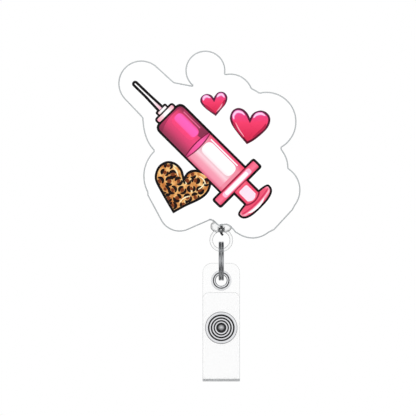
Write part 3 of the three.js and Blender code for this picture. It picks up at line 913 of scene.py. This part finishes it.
def leopard_shape(margin):
    right_side = [(-11.6, 14.6), (-9.9, 15.5), (-7.6, 15.4), (-5.2, 14.3), (-3.7, 12.3), (-3.9, 9.6),
                  (-5.2, 7.4), (-7.6, 5.6), (-12.3, 3.4)]
    left_side = [(-18.3, 4.6), (-20.4, 8.3), (-22.1, 11.6), (-22.4, 14.0), (-21.4, 16.6), (-19.6, 18.1),
                 (-17.5, 18.5), (-15.3, 17.7), (-13.6, 15.9), (-13.0, 14.2)]
    outline = heart((-12.7, 12.8), right_side, (-16.3, 1.2), left_side)
    return shifted(outline, margin) if margin else outline


def tapered(points, width):
    """A brush stroke along a line, thin at both ends."""
    last = len(points) - 1
    left = []
    right = []
    for i, point in enumerate(points):
        along = (Vector(points[min(i + 1, last)]) - Vector(points[max(i - 1, 0)])).normalized()
        half = width / 2 * (0.15 + 0.85 * math.sin(math.pi * i / last) ** 0.6)
        left.append((point[0] - along.y * half, point[1] + along.x * half))
        right.append((point[0] + along.y * half, point[1] - along.x * half))
    return left + right[::-1]


def stroke(name, points, width, level, *color):
    return painted(name, tapered(smooth_line(points), width), level, *color)


def heart_ink(name, outline):
    """Pink that lightens from the heart's tip to its top."""
    heights = [z for x, z in outline]
    low, high = min(heights), max(heights)
    colors = [(0, (212, 38, 70)), (0.3, (226, 48, 90)), (0.6, (246, 62, 108)), (0.85, (236, 72, 138)),
              (1, (232, 104, 176))]
    return ink(name, (0, 1), [(low + (high - low) * share, srgb(*color)) for share, color in colors])


def make_pink_heart(name, outline, line_width, shine, streak, shade):
    """A pink heart in a dark line, with bright strokes in soft halos at the top and dark ones below."""
    line = ink(name + "_line_ink", (0, 1), [(24, srgb(84, 8, 34)), (42, srgb(92, 34, 66))])
    printed(name + "_line", shifted(outline, -LINE_GROWTH), 1, line)
    printed(name, shifted(outline, line_width), 2, heart_ink(name + "_ink", outline))
    for i, points in enumerate(shine):
        stroke(f"{name}_halo_{i}", points, 1.15, 3, 240, 132, 196)
        stroke(f"{name}_light_{i}", points, 0.62, 4, 250, 206, 238)
    for i, points in enumerate(shade):
        stroke(f"{name}_shade_{i}", points, 0.85, 3, 186, 34, 72)
    stroke(name + "_streak", streak, 0.42, 5, 248, 160, 182)


def make_pink_hearts():
    make_pink_heart(
        "print_heart_small", small_heart(), 0.42,
        [[(-6.1, 39.3), (-5.9, 40.2), (-5.0, 40.7), (-3.7, 40.2)],
         [(-1.5, 40.4), (-0.7, 41.2), (0.3, 41.3), (1.1, 40.3)]],
        [(0.4, 38.3), (-0.4, 36.9), (-1.6, 35.5)],
        [[(-5.7, 37.9), (-4.4, 36.7), (-2.2, 35.2)], [(1.2, 39.6), (0.6, 38.1), (-0.9, 36.2)]])
    make_pink_heart(
        "print_heart_big", big_heart(), 0.55,
        [[(4.3, 32.9), (4.2, 34.2), (5.2, 35.4), (6.8, 35.3), (8.0, 34.3)],
         [(10.9, 33.4), (12.0, 34.5), (13.6, 34.8), (15.0, 34.1)]],
        [(4.8, 31.9), (6.0, 29.5), (7.8, 26.9)],
        [[(4.0, 32.2), (5.0, 30.1), (7.6, 26.6)], [(15.2, 31.4), (14.2, 29.7), (10.6, 26.7)]])


def inside(point, outline):
    """True if a point lies inside an outline."""
    x, z = point
    crossings = 0
    for (ax, az), (bx, bz) in zip(outline, [*outline[1:], outline[0]]):
        if (az > z) != (bz > z) and x < ax + (z - az) * (bx - ax) / (bz - az):
            crossings += 1
    return crossings % 2 == 1


def blob(centre, size, draw):
    """An uneven spot."""
    corners = 8
    ring = []
    for i in range(corners):
        angle = 2 * math.pi * i / corners
        radius = size * draw.uniform(0.75, 1.15)
        ring.append((centre[0] + radius * math.cos(angle), centre[1] + radius * math.sin(angle)))
    return rounded(ring, size * 0.6, steps=3)


def crescent(centre, radius, start, sweep, width):
    """A thick broken arc with tapered ends."""
    middle = arc(*centre, radius, start, start + sweep, 14)
    last = len(middle) - 1
    outer = []
    inner = []
    for i, point in enumerate(middle):
        away = (Vector(point) - Vector(centre)).normalized()
        half = width / 2 * (0.35 + 0.65 * math.sin(math.pi * (i + 0.5) / (last + 1)))
        outer.append(tuple(Vector(point) + away * half))
        inner.append(tuple(Vector(point) - away * half))
    return outer + inner[::-1]


def leopard_centres(draw):
    """Where the rosettes sit: rows set off by half a step, each centre moved a little at random."""
    pitch = 3.1
    field = leopard_shape(0.6)
    centres = []
    for row in range(-2, 8):
        for column in range(-2, 10):
            x = -24 + (column + 0.5 * (row % 2)) * pitch + draw.uniform(-0.35, 0.35)
            z = 1 + row * pitch * 0.87 + draw.uniform(-0.35, 0.35)
            if inside((x, z), field):
                centres.append((x, z))
    return centres


def make_leopard_heart():
    """Tan fur with rosettes: each is a brown centre inside a broken dark ring."""
    field = leopard_shape(0.62)
    fur = ink("fur_ink", (0, 1), [(0, srgb(214, 150, 84)), (20, srgb(240, 184, 116))])
    streaks = noise(fur, 1.6, 3, stretch=(1, 1, 0.6))
    patches = ramp(fur, streaks, [(0.36, srgb(190, 112, 52)), (0.5, srgb(232, 170, 100)),
                                  (0.6, srgb(244, 196, 128)), (0.68, srgb(250, 236, 190))])
    feed(fur, "Base Color", patches)
    printed("print_fur", field, 2, fur)
    front = DECAL_FRONT - INK_STEP * 3
    back = DECAL_FRONT + INK_ROOT
    spots = []
    rings = []
    draw = random.Random(4)
    for centre in leopard_centres(draw):
        spots.append(slab("spot", blob(centre, draw.uniform(0.6, 0.9), draw), front, back))
        start = draw.uniform(0, 360)
        for k in range(2):
            sweep = draw.uniform(95, 165)
            radius = draw.uniform(0.95, 1.2)
            width = draw.uniform(0.85, 1.15)
            outline = crescent(centre, radius, start + 180 * k, sweep, width)
            rings.append(slab("ring", outline, front, back))
    layers = [("print_spots", spots, (124, 58, 26)), ("print_rosettes", rings, (26, 12, 10))]
    for name, shapes, color in layers:
        mask = slab("mask", shifted(field, 0.02), front - 1, back + 1)
        marks = common(several(name, shapes), mask)
        rigid(marks, "reel", plain_ink(name + "_ink", color), "white_print")
    gleams = [[(-16.4, 16.6), (-15.2, 15.2), (-14.6, 13.4)], [(-7.6, 13.6), (-6.2, 12.6), (-5.2, 10.8)],
              [(-7.9, 9.0), (-6.6, 9.9), (-5.6, 11.4)], [(-14.3, 4.6), (-12.6, 6.2), (-10.4, 6.9)]]
    for i, points in enumerate(gleams):
        stroke(f"print_gleam_{i}", points, 0.42, 4, 253, 240, 198)


def make_print():
    make_syringe_lines()
    make_needle()
    make_liquid()
    make_surface_of_liquid()
    make_empty_barrel()
    make_plunger()
    make_pink_hearts()
    make_leopard_heart()


# ---------------------------------------------------------------- reel


def on_axle(name, profile, segments=128, radius=0.0):
    """A part turned about the reel's axis. Heights are from the cord's plane."""
    return turned(name, profile, "Y", (0, CORD_Y, REEL_Z), segments, radius)


def at_reel(points):
    return [(x, CORD_Y + y, REEL_Z + z) for x, y, z in points]


def snout(front, back):
    """The square snout under the reel, between two planes measured from the cord's plane."""
    section = rectangle(-SNOUT_HALF, SNOUT_HALF, -SNOUT_HALF, SNOUT_HALF, 1.6, 8)
    bottom = REEL_Z + SNOUT_BOTTOM
    block = slab("spout", [(x, y + CORD_Y) for x, y in section], bottom, REEL_Z + SNOUT_TOP, "Z")
    keep = slab("keep", rectangle(-5, 5, -5, 5), CORD_Y + front, CORD_Y + back)
    keep.data.transform(Matrix.Translation((0, 0, bottom)))
    return common(block, keep)


def cord_channel():
    mouth = 0.9
    funnel = [(-4, -13.9), (4, -13.9), (mouth, -16.4), (mouth, -18.1), (-mouth, -18.1), (-mouth, -16.4)]
    shape = rounded(funnel, 0.8)
    return slab("channel", [(x, z + REEL_Z) for x, z in shape], CORD_Y - mouth, CORD_Y + mouth)


def rim(side):
    """The rounded edge of a cover. The side is -1 for the front cover and 1 for the rear one."""
    flat = REEL_HALF * side
    corner = (REEL_RADIUS, flat)
    return bend((REEL_RADIUS - REEL_RIM, flat), corner, (REEL_RADIUS, flat - REEL_RIM * side), 6)


def make_front_cover():
    inner = REEL_RADIUS - COVER_WALL
    recess = REEL_RADIUS - LIP_WALL
    floor = -REEL_HALF + COVER_FLOOR
    low = -LIP_HEIGHT - 0.1
    profile = [(0, -REEL_HALF), *rim(-1), (REEL_RADIUS, -SEAM), (recess, -SEAM), (recess, low),
               (inner, low), (inner, floor), (3.4, floor), (3.4, floor + 0.4), (2.5, floor + 0.4),
               (2.5, floor), (0, floor)]
    shell = on_axle("cover_front", profile)
    bore = on_axle("bore", rod(recess, low, 1))
    whole = cut(join(shell, cut(snout(-5, -SEAM), bore)), cord_channel())
    rigid(softened(whole, 0.12), "reel", black_shell, "black_plastic", "front_cover")


def make_rear_cover():
    inner = REEL_RADIUS - COVER_WALL
    lip = REEL_RADIUS - LIP_WALL - GAP
    floor = REEL_HALF - COVER_FLOOR
    bore = RIVET_RADIUS + GAP
    profile = [(bore, REEL_HALF), *rim(1), (REEL_RADIUS, SEAM), (lip, SEAM), (lip, -LIP_HEIGHT),
               (inner, -LIP_HEIGHT), (inner, floor), (POST_RADIUS, floor), (POST_RADIUS, POST_TIP),
               (1.8, POST_TIP), (1.8, TAIL_SEAT), (bore, TAIL_SEAT), (bore, REEL_HALF)]
    shell = on_axle("cover_rear", profile)
    slot_outline = rectangle(0, POST_RADIUS + 0.2, REEL_Z - 0.3, REEL_Z + 0.3)
    slot = slab("slot", slot_outline, CORD_Y - 4, CORD_Y + 2.5)
    whole = cut(join(shell, snout(SEAM, 5)), cord_channel(), slot)
    rigid(softened(whole, 0.12), "reel", black_shell, "black_plastic", "rear_cover")


def make_spool():
    bore = POST_RADIUS + 0.1
    groove = SPOOL_HALF - SPOOL_FLANGE
    profile = [(bore, -SPOOL_HALF), (SPOOL_RADIUS, -SPOOL_HALF), (SPOOL_RADIUS, -groove),
               (WINDING_CORE, -groove), (WINDING_CORE, groove), (SPOOL_RADIUS, groove),
               (SPOOL_RADIUS, SPOOL_HALF), (CUP_RADIUS, SPOOL_HALF), (CUP_RADIUS, -groove),
               (bore, -groove), (bore, -SPOOL_HALF)]
    wheel = on_axle("spool_wheel", profile, radius=0.15)
    rigid(wheel, "spool", grey_shell, "grey_plastic", "spool")


def make_power_spring():
    turns = 7
    per_turn = 48
    first = 2.75
    last = 8.95
    centre = [(1.6, REEL_Z), (2.2, REEL_Z)]
    for i in range(turns * per_turn + 1):
        radius = first + (last - first) * i / (turns * per_turn)
        angle = 2 * math.pi * i / per_turn
        centre.append((radius * math.cos(angle), REEL_Z + radius * math.sin(angle)))
    ribbon = slab("power_spring_strip", strip(centre, 0.3), CORD_Y - 1.4, CORD_Y + 2.3)
    rigid(ribbon, "reel", steel, "spring_steel", "power_spring")


def make_wound_cord():
    """Twelve turns in three layers. The cord climbs a layer at each end of the groove."""
    per_turn = 64
    pitch = 2 * CORD_RADIUS
    half_width = pitch * (TURNS_IN_LAYER - 1) / 2
    leave = math.atan2(CORD_LEAVES[1], CORD_LEAVES[0])
    total = CORD_LAYERS * TURNS_IN_LAYER * per_turn
    path = []
    for i in range(total + 1):
        turn = i / per_turn
        layer = min(int(turn / TURNS_IN_LAYER), CORD_LAYERS - 1)
        within = turn - layer * TURNS_IN_LAYER
        radius = WINDING_CORE + CORD_RADIUS + 0.1 + layer * pitch
        climb = min(within * 4, 1) if layer else 1
        radius -= pitch * (1 - climb)
        share = min(max((within - 0.5) / (TURNS_IN_LAYER - 1), 0), 1)
        across = half_width * (1 - 2 * share) * (1 if layer % 2 else -1)
        across *= min((total - i) / (per_turn / 2), 1)
        angle = leave + 2 * math.pi * (turn - CORD_LAYERS * TURNS_IN_LAYER)
        path.append((radius * math.cos(angle), across, radius * math.sin(angle)))
    wound = swept("wound_cord", at_reel(path), circle(CORD_RADIUS * 0.98, 10))
    rigid(wound, "spool", braid, "black_cord", "cord_winding", crease=60)


def make_free_cord():
    """The cord from the winding, down through the snout to its knot."""
    route = [CORD_LEAVES, (6.4, -10.8), (4.55, -12.43), (3.2, -13.64), (1.9, -14.8), (0.9, -15.68),
             (0.28, -16.3), (0, -16.75), (0, -17.05), (0, -17.4), (0, -17.9), (0, -18.45)]
    path = smooth_line(at_reel([(x, 0, z) for x, z in route]), 10)
    line = swept("cord_line", path, circle(CORD_RADIUS, 16))
    mouth = REEL_Z + SNOUT_BOTTOM
    flexible(line, ("reel", "cord_end"), (0, CORD_Y, mouth), (0, CORD_Y, -3.4), braid, "black_cord",
             "cord_run", "cord_lead", crease=60)
    knot = [(0, 0, -3.35), (0.05, -0.05, -3.8), (0.5, -0.45, -4.3), (0.35, -0.75, -4.95),
            (-0.4, -0.55, -5.25), (-0.75, 0.1, -4.8), (-0.45, 0.65, -4.3), (0.3, 0.65, -4.15),
            (0.78, 0.1, -4.55), (0.5, -0.1, -5.2), (-0.05, 0.1, -5.6), (0.1, 0.05, -6.0), (0.5, 0, -6.5)]
    path = smooth_line([(x, CORD_Y + y, z) for x, y, z in knot], 8)
    tied = swept("tied_knot", path, circle(CORD_RADIUS * 0.95, 12), round_ends=True)
    rigid(tied, "cord_end", braid, "black_cord", "cord_knot", crease=60)


# ---------------------------------------------------------------- clip


def make_rivet():
    seat = CLIP_Y - CORD_Y + SHEET + GAP
    tail = TAIL_SEAT - GAP
    dome = bend((2.4, seat + 0.2), (1.7, seat + 0.75), (0, seat + 0.78), 8)
    profile = [(0, tail - 0.6), (1.4, tail - 0.6), (1.7, tail - 0.35), (1.7, tail), (RIVET_RADIUS, tail),
               (RIVET_RADIUS, seat), (2.4, seat), *dome]
    rivet = on_axle("swivel_rivet", profile, 64, 0.06)
    rigid(rivet, "reel", nickel, "nickel", "clip_rivet")
    low = REEL_HALF + SEAM
    high = CLIP_Y - CORD_Y - SEAM
    ring = [(1.3, low), (4, low), (4, high), (1.3, high), (1.3, low)]
    washer = on_axle("swivel_washer", ring, 64, 0.1)
    rigid(washer, "reel", black_shell, "black_plastic", "clip_washer")


def jaw_plan(half_width, top, corner, waist=None):
    """The plan of a jaw: a toothed tip at the bottom and rounded corners at the top."""
    left = [(-half_width, JAW_TIP + TOOTH_DEPTH)]
    if waist:
        narrow, low, high = waist
        left += [(-half_width, low), (-narrow, low + 1), (-narrow, high - 1), (-half_width, high)]
        left = [left[0], *rounded(left, 0.5, closed=False)[1:]]
    left += arc(-half_width + corner, top - corner, corner, 180, 90, 10)
    outline = left + [(-x, z) for x, z in left[::-1]]
    teeth = round(2 * half_width / TOOTH)
    step = 2 * half_width / teeth
    for i in range(teeth):
        right = half_width - step * i
        outline.append((right - step / 2, JAW_TIP))
        if i < teeth - 1:
            outline.append((right - step, JAW_TIP + TOOTH_DEPTH))
    return slab("plan", outline, CLIP_Y - 2, CLIP_Y + 16)


def folded_sheet(name, line, radius):
    """Sheet steel seen from the side, with its bends rounded."""
    bent = rounded([(y + CLIP_Y, z) for y, z in line], radius, closed=False, steps=8)
    return slab(name, strip(bent, SHEET), -6, 6, "X")


def ear(outline, low):
    """One of a jaw's two sides, which the pin goes through."""
    return slab("ear", outline, low, low + SHEET, "X")


def pin_hole(radius):
    return turned("hole", rod(radius, -8, 8), "X", (0, PIN_Y, PIN_Z), 64)


def make_clip_base():
    plate = common(folded_sheet("clip_base_plate", [(0.4, 30), (0.4, 3.4), (2.3, -1), (2.9, -2.4)], 2.5),
                   jaw_plan(BASE_HALF_WIDTH, 28, 2))
    back = CLIP_Y + SHEET / 2
    side = [(back, 14.2), *arc(PIN_Y, PIN_Z, 1.8, -90, 90, 10), (back, 21.8)]
    left = ear(side, -BASE_HALF_WIDTH)
    right = ear(side, BASE_HALF_WIDTH - SHEET)
    rivet_hole = turned("hole", rod(RIVET_RADIUS + 0.1, -1, 2), centre=(0, CLIP_Y, REEL_Z), segments=64)
    whole = cut(join(plate, left, right), rivet_hole, pin_hole(PIN_RADIUS + GAP))
    rigid(softened(whole, 0.12, 3), "clip", nickel, "nickel", "clip_base")


def make_clip_lever():
    line = [(3.2, -2.3), (6.2, 4.6), (7.4, 12), (8.1, 21), (12.4, 30), (12.9, 31)]
    plan = jaw_plan(LEVER_HALF_WIDTH, 30.5, 3, (LEVER_WAIST, 12.2, 23.8))
    plate = common(folded_sheet("clip_lever_plate", line, 4), plan)
    front = CLIP_Y + 7.9
    side = [(front, 15.6), (front, 20.4), *arc(PIN_Y, PIN_Z, 1.7, 90, 270, 10)]
    left = ear(side, -LEVER_WAIST)
    right = ear(side, LEVER_WAIST - SHEET)
    whole = cut(join(plate, left, right), pin_hole(PIN_RADIUS + 0.08))
    rigid(softened(whole, 0.12, 3), "clip_lever", nickel, "nickel", "clip_lever")


def make_clip_pin():
    inner = BASE_HALF_WIDTH + GAP
    end = inner + 0.45
    profile = [(0, -end), (0.9, -end), (1.2, -end + 0.2), (1.2, -inner), (PIN_RADIUS, -inner),
               (PIN_RADIUS, inner), (1.2, inner), (1.2, end - 0.2), (0.9, end), (0, end)]
    pin = turned("hinge_pin", profile, "X", (0, PIN_Y, PIN_Z), 48, radius=0.05)
    rigid(pin, "clip", nickel, "nickel", "clip_pin")


def make_clip_spring():
    """Coils round the pin. One leg lies on the base plate and the other under the lever."""
    turns = 3.5
    per_turn = 36
    coil = 1.35
    half_length = 1.3
    leg_in = [(-half_length, 1.25, 25.5), (-half_length, 2.6, 22), (-half_length, 3.8, 19.6)]
    leg_out = [(half_length, 6.9, 19.6), (half_length, 7.15, 21), (half_length, 9.1, 25.5)]
    coils = []
    for i in range(round(turns * per_turn) + 1):
        angle = math.radians(-90) - 2 * math.pi * i / per_turn
        across = -half_length + 2 * half_length * i / (turns * per_turn)
        coils.append((across, PIN_Y - CLIP_Y + coil * math.sin(angle), PIN_Z + coil * math.cos(angle)))
    start = smooth_line([*leg_in, coils[0]], 10)[:-1]
    end = smooth_line([coils[-1], *leg_out], 10)[1:]
    path = [(x, y + CLIP_Y, z) for x, y, z in [*start, *coils, *end]]
    wire = swept("torsion_spring", path, circle(0.22, 12), round_ends=True)
    flexible(wire, ("clip", "clip_lever"), (-half_length, PIN_Y, PIN_Z), (half_length, PIN_Y, PIN_Z),
             steel, "spring_steel", "clip_spring", crease=60)


# ---------------------------------------------------------------- rings


def make_end_ring():
    """A moulded hoop with a flattened hollow neck, which holds the cord's knot."""
    neck = turned("clear_ring", [
        (0, -5.6), (2, -5.6), (2.4, -5.35), (3.2, -4.8), (3.65, -4.1), (3.65, -2.9), (3.2, -2.25),
        (0, -2.25),
    ], "Z", (0, 0, 0), 96, radius=0.4, flatten=NECK_FLATTEN)
    neck.data.transform(Matrix.Translation((0, CORD_Y, 0)))
    section = arc(RING_MAJOR, 0, RING_MINOR, 0, 342, 18)
    hoop = turned("hoop", [*section, section[0]], "Y", (0, CORD_Y, RING_Z), 96)
    pocket = turned("pocket", rod(KNOT_POCKET, -8, -3.6), "Z", (0, CORD_Y, 0), 48)
    hole = turned("hole", rod(CORD_RADIUS + 0.15, -4, -1), "Z", (0, CORD_Y, 0), 32)
    whole = fused(cut(join(neck, hoop), pocket, hole), 0.11, 6)
    rigid(whole, "end_ring", moulded_clear, "clear_plastic", "cord_end_ring", crease=60)


def make_split_ring():
    """Flat wire in two coils side by side. It crosses from one to the other at the back."""
    crossing = math.radians(38)
    gap = math.radians(3)
    total = 4 * math.pi - crossing - gap
    steps = 200
    section = rectangle(-SPLIT_DEPTH / 2, SPLIT_DEPTH / 2, -SPLIT_WIDTH / 2, SPLIT_WIDTH / 2, 0.22, 4)
    rings = []
    for i in range(steps + 1):
        angle = total * i / steps
        share = min(max((angle - 2 * math.pi + crossing) / crossing, 0), 1)
        middle = SPLIT_OFFSET * (2 * share * share * (3 - 2 * share) - 1)
        ring = []
        for deep, wide in section:
            radius = SPLIT_MIDDLE + deep
            y = CORD_Y + radius * math.cos(angle)
            z = SPLIT_Z + radius * math.sin(angle)
            ring.append((middle + wide, y, z))
        rings.append(ring)
    coils = skin("split_coils", rings)
    rigid(coils, "split_ring", ring_steel, "nickel", "split_ring")


# ---------------------------------------------------------------- strap, eyelet and snap


def across(name, profile, z, segments=96, radius=0.0):
    """A part turned about an axis through the strap. Heights are from the cord's plane."""
    return turned(name, profile, "Y", (0, CORD_Y, z), segments, radius)


def fitting(name, profile, z, body, node, segments=96, radius=0.0, crease=32):
    """A nickel part that is pressed into the strap."""
    rigid(across(name, profile, z, segments, radius), body, nickel, "nickel", node, crease=crease)


def make_strap():
    """One strip of vinyl, folded at the bottom. Each part's edges are rounded before they are joined."""
    half = VINYL / 2
    rear_y = FOLD_Y + FOLD_RADIUS
    flap_y = FOLD_Y - FOLD_RADIUS
    rear = slab("vinyl_strap", sheet_outline(STRAP_TOP, 3.2), rear_y - half, rear_y + half)
    outer_bend = arc(FOLD_Y, FOLD_Z, FOLD_RADIUS + half, 180, 360, 9)
    inner_bend = arc(FOLD_Y, FOLD_Z, FOLD_RADIUS - half, 360, 180, 9)
    fold = slab("fold", outer_bend + inner_bend, -STRAP_HALF, STRAP_HALF, "X")
    flap = slab("flap", sheet_outline(FLAP_TOP, 2.2), flap_y - half, flap_y + half)
    parts = [softened(part, 0.2, 2, 60) for part in (rear, fold, flap)]
    holes = [
        across("hole", rod(EYELET_BORE, 0.2, 2), EYELET_Z),
        across("hole", rod(1.08, 0.2, 2), SNAP_Z),
        across("hole", rod(1.38, -2, -0.8), SNAP_Z),
    ]
    whole = mark_edges(cut(join(*parts), *holes))
    flexible(whole, ("strap", "strap_flap"), (0, FOLD_Y + 0.85, FOLD_Z),
             (0, FOLD_Y - 0.85, FOLD_Z), vinyl, "clear_vinyl", "strap_rear", "strap_fold", "strap_flap")


def sheet_outline(top, radius):
    left = arc(-STRAP_HALF + radius, top - radius, radius, 180, 90, 9)
    bottom = FOLD_Z - 0.25
    return [(-STRAP_HALF, bottom), *left, *[(-x, z) for x, z in left[::-1]], (STRAP_HALF, bottom)]


def make_eyelet():
    barrel = [(EYELET_HOLE, 0.5), (1.87, 0.34), (2.12, 0.23), (2.44, 0.23), (2.81, 0.4), (2.85, 0.6),
              (2.3, 0.6), (2.3, 1.55), (2.7, 1.55), (2.7, 1.75), (2.2, 1.9), (2.05, 1.87), (1.92, 1.75),
              (EYELET_HOLE, 1.5), (EYELET_HOLE, 0.5)]
    fitting("eyelet_barrel", barrel, EYELET_Z, "strap", "eyelet", crease=12)
    ring = [(2.35, 1.2), (3.5, 1.2), (3.5, 1.4), (3.3, 1.5), (2.35, 1.5), (2.35, 1.2)]
    fitting("eyelet_backing", ring, EYELET_Z, "strap", "eyelet_washer", radius=0.06)


def make_snap():
    """The cap is pressed into concentric steps, level from the front, with slopes between them."""
    cap = [(0, -0.95), (1.3, -0.95), (1.3, -1.6), (5.15, -1.6), (5.5, -1.85), (5.5, -2.2), (5.44, -2.36),
           (5.3, -2.44), (5.15, -2.46), (4.68, -2.46), (4.56, -2.445), (4, -2.19), (3.88, -2.175),
           (3.72, -2.175), (3.6, -2.19), (3.04, -2.445), (2.92, -2.46), (2.76, -2.46), (2.64, -2.445),
           (2.14, -2.22), (2.02, -2.205), (1.88, -2.205), (1.76, -2.19), (1.1, -1.89),
           (0.14, -2.25), (0, -2.275)]
    fitting("snap_front", cap, SNAP_Z, "strap_flap", "snap_cap", 128, crease=14)
    socket = [(1.4, -1), (4, -1), (4.2, -0.8), (4.2, -0.5), (3, 0), (2.8, 0.25), (1.75, 0.25),
              (1.75, -0.85), (1.4, -0.85), (1.4, -1)]
    fitting("snap_socket_ring", socket, SNAP_Z, "strap_flap", "snap_socket", radius=0.06)
    stud = [(0, -0.75), (1.2, -0.75), (1.5, -0.5), (1.5, -0.2), (1.35, 0.05), (1.35, 0.3), (4, 0.3),
            (4, 0.6), (1.05, 0.6), (1.05, -0.45), (0, -0.45)]
    fitting("snap_stud_plate", stud, SNAP_Z, "strap", "snap_stud", radius=0.06)
    post = [(0, -0.35), (1, -0.35), (1, 1.2), (4.6, 1.2), (5, 1.4), (5, 1.6), (4.4, 2), (0, 2)]
    fitting("snap_post_head", post, SNAP_Z, "strap", "snap_post", radius=0.1)


# ---------------------------------------------------------------- stage


SOFT_LIGHT = 0.86            # brightness of the white all round that lights the pieces


def make_camera():
    """Square on to the front."""
    data = bpy.data.cameras.new("camera")
    data.sensor_width = 36
    data.lens = data.sensor_width * (VIEW_DISTANCE + DECAL_FRONT) / VIEW_WIDTH
    data.clip_start = 0.05
    data.clip_end = 50
    camera = bpy.data.objects.new("camera", data)
    camera.location = (VIEW_X * MM, -VIEW_DISTANCE * MM, VIEW_Z * MM)
    camera.rotation_euler = (math.radians(90), 0, 0)
    scene.collection.objects.link(camera)
    scene.camera = camera


def make_floor():
    outline = arc(0, 0, 5000, 0, 355, 5)
    floor = slab("floor", outline, FLOOR_Z - 10, FLOOR_Z, "Z")
    floor.data.transform(Matrix.Scale(MM, 4))
    material = new_material("floor", srgb(250, 250, 250), 0.9)
    shade = mixed(material, noise(material, 300), srgb(250, 250, 250), srgb(245, 245, 246))
    feed(material, "Base Color", shade)
    floor.data.materials.append(material)
    floor.visible_glossy = False


def make_light(name, place, target, size, power):
    data = bpy.data.lights.new(name, "AREA")
    data.shape = "DISK"
    data.size = size
    data.energy = power
    lamp = bpy.data.objects.new(name, data)
    lamp.visible_glossy = False
    lamp.location = place
    lamp.rotation_euler = (Vector(target) - Vector(place)).to_track_quat("-Z", "Y").to_euler()
    scene.collection.objects.link(lamp)


def make_world():
    """White where the camera looks past the object, and an even soft light. In reflections it is a
    studio: bright ahead, behind and at the sides, dark rings between, and dimmer towards the ground."""
    world = bpy.data.worlds.new("studio")
    world.use_nodes = True
    scene.world = world
    background = world.node_tree.nodes["Background"]
    where = add_node(world, "ShaderNodeTexCoord", {})
    parts = add_node(world, "ShaderNodeSeparateXYZ", {"Vector": where.outputs["Generated"]})
    depth = add_node(world, "ShaderNodeMath", {0: parts.outputs["Y"]}, operation="ABSOLUTE")
    greys = [(0, 0.8), (0.16, 1), (0.42, 0.85), (0.57, 0.05), (0.6, 0.03), (0.75, 0.03), (0.83, 0.6),
             (1, 1)]
    stops = [(place, (grey, grey, grey, 1)) for place, grey in greys]
    rings = ramp(world, depth.outputs["Value"], stops)
    height = add_node(world, "ShaderNodeMapRange",
                      {"Value": parts.outputs["Z"], "From Min": -1, "From Max": 1}).outputs["Result"]
    from_above = ramp(world, height, [(0.1, (0.5, 0.5, 0.5, 1)), (0.5, (1, 1, 1, 1))])
    studio = mixed(world, 1.0, rings, from_above, "MULTIPLY")
    path = add_node(world, "ShaderNodeLightPath", {})
    soft = mixed(world, path.outputs["Is Diffuse Ray"], studio, (SOFT_LIGHT, SOFT_LIGHT, SOFT_LIGHT, 1))
    seen = mixed(world, path.outputs["Is Camera Ray"], soft, (1, 1, 1, 1))
    world.node_tree.links.new(seen, background.inputs["Color"])


def make_stage():
    make_camera()
    make_floor()
    middle = (0, -0.01, 0)
    make_light("key", (-0.45, -0.9, 0.6), middle, 0.5, 1.9)
    make_light("fill", (0.7, -0.8, 0.1), middle, 0.7, 1.1)
    make_light("top", (0, -0.2, 1.0), middle, 0.6, 1.1)
    make_light("back", (0.3, 0.9, 0.5), middle, 0.6, 2.2)
    make_world()
    scene.view_settings.view_transform = "Standard"


# ---------------------------------------------------------------- everything

make_stage()
make_topper()
make_print()
make_front_cover()
make_rear_cover()
make_spool()
make_power_spring()
make_wound_cord()
make_free_cord()
make_rivet()
make_clip_base()
make_clip_lever()
make_clip_pin()
make_clip_spring()
make_end_ring()
make_split_ring()
make_strap()
make_eyelet()
make_snap()
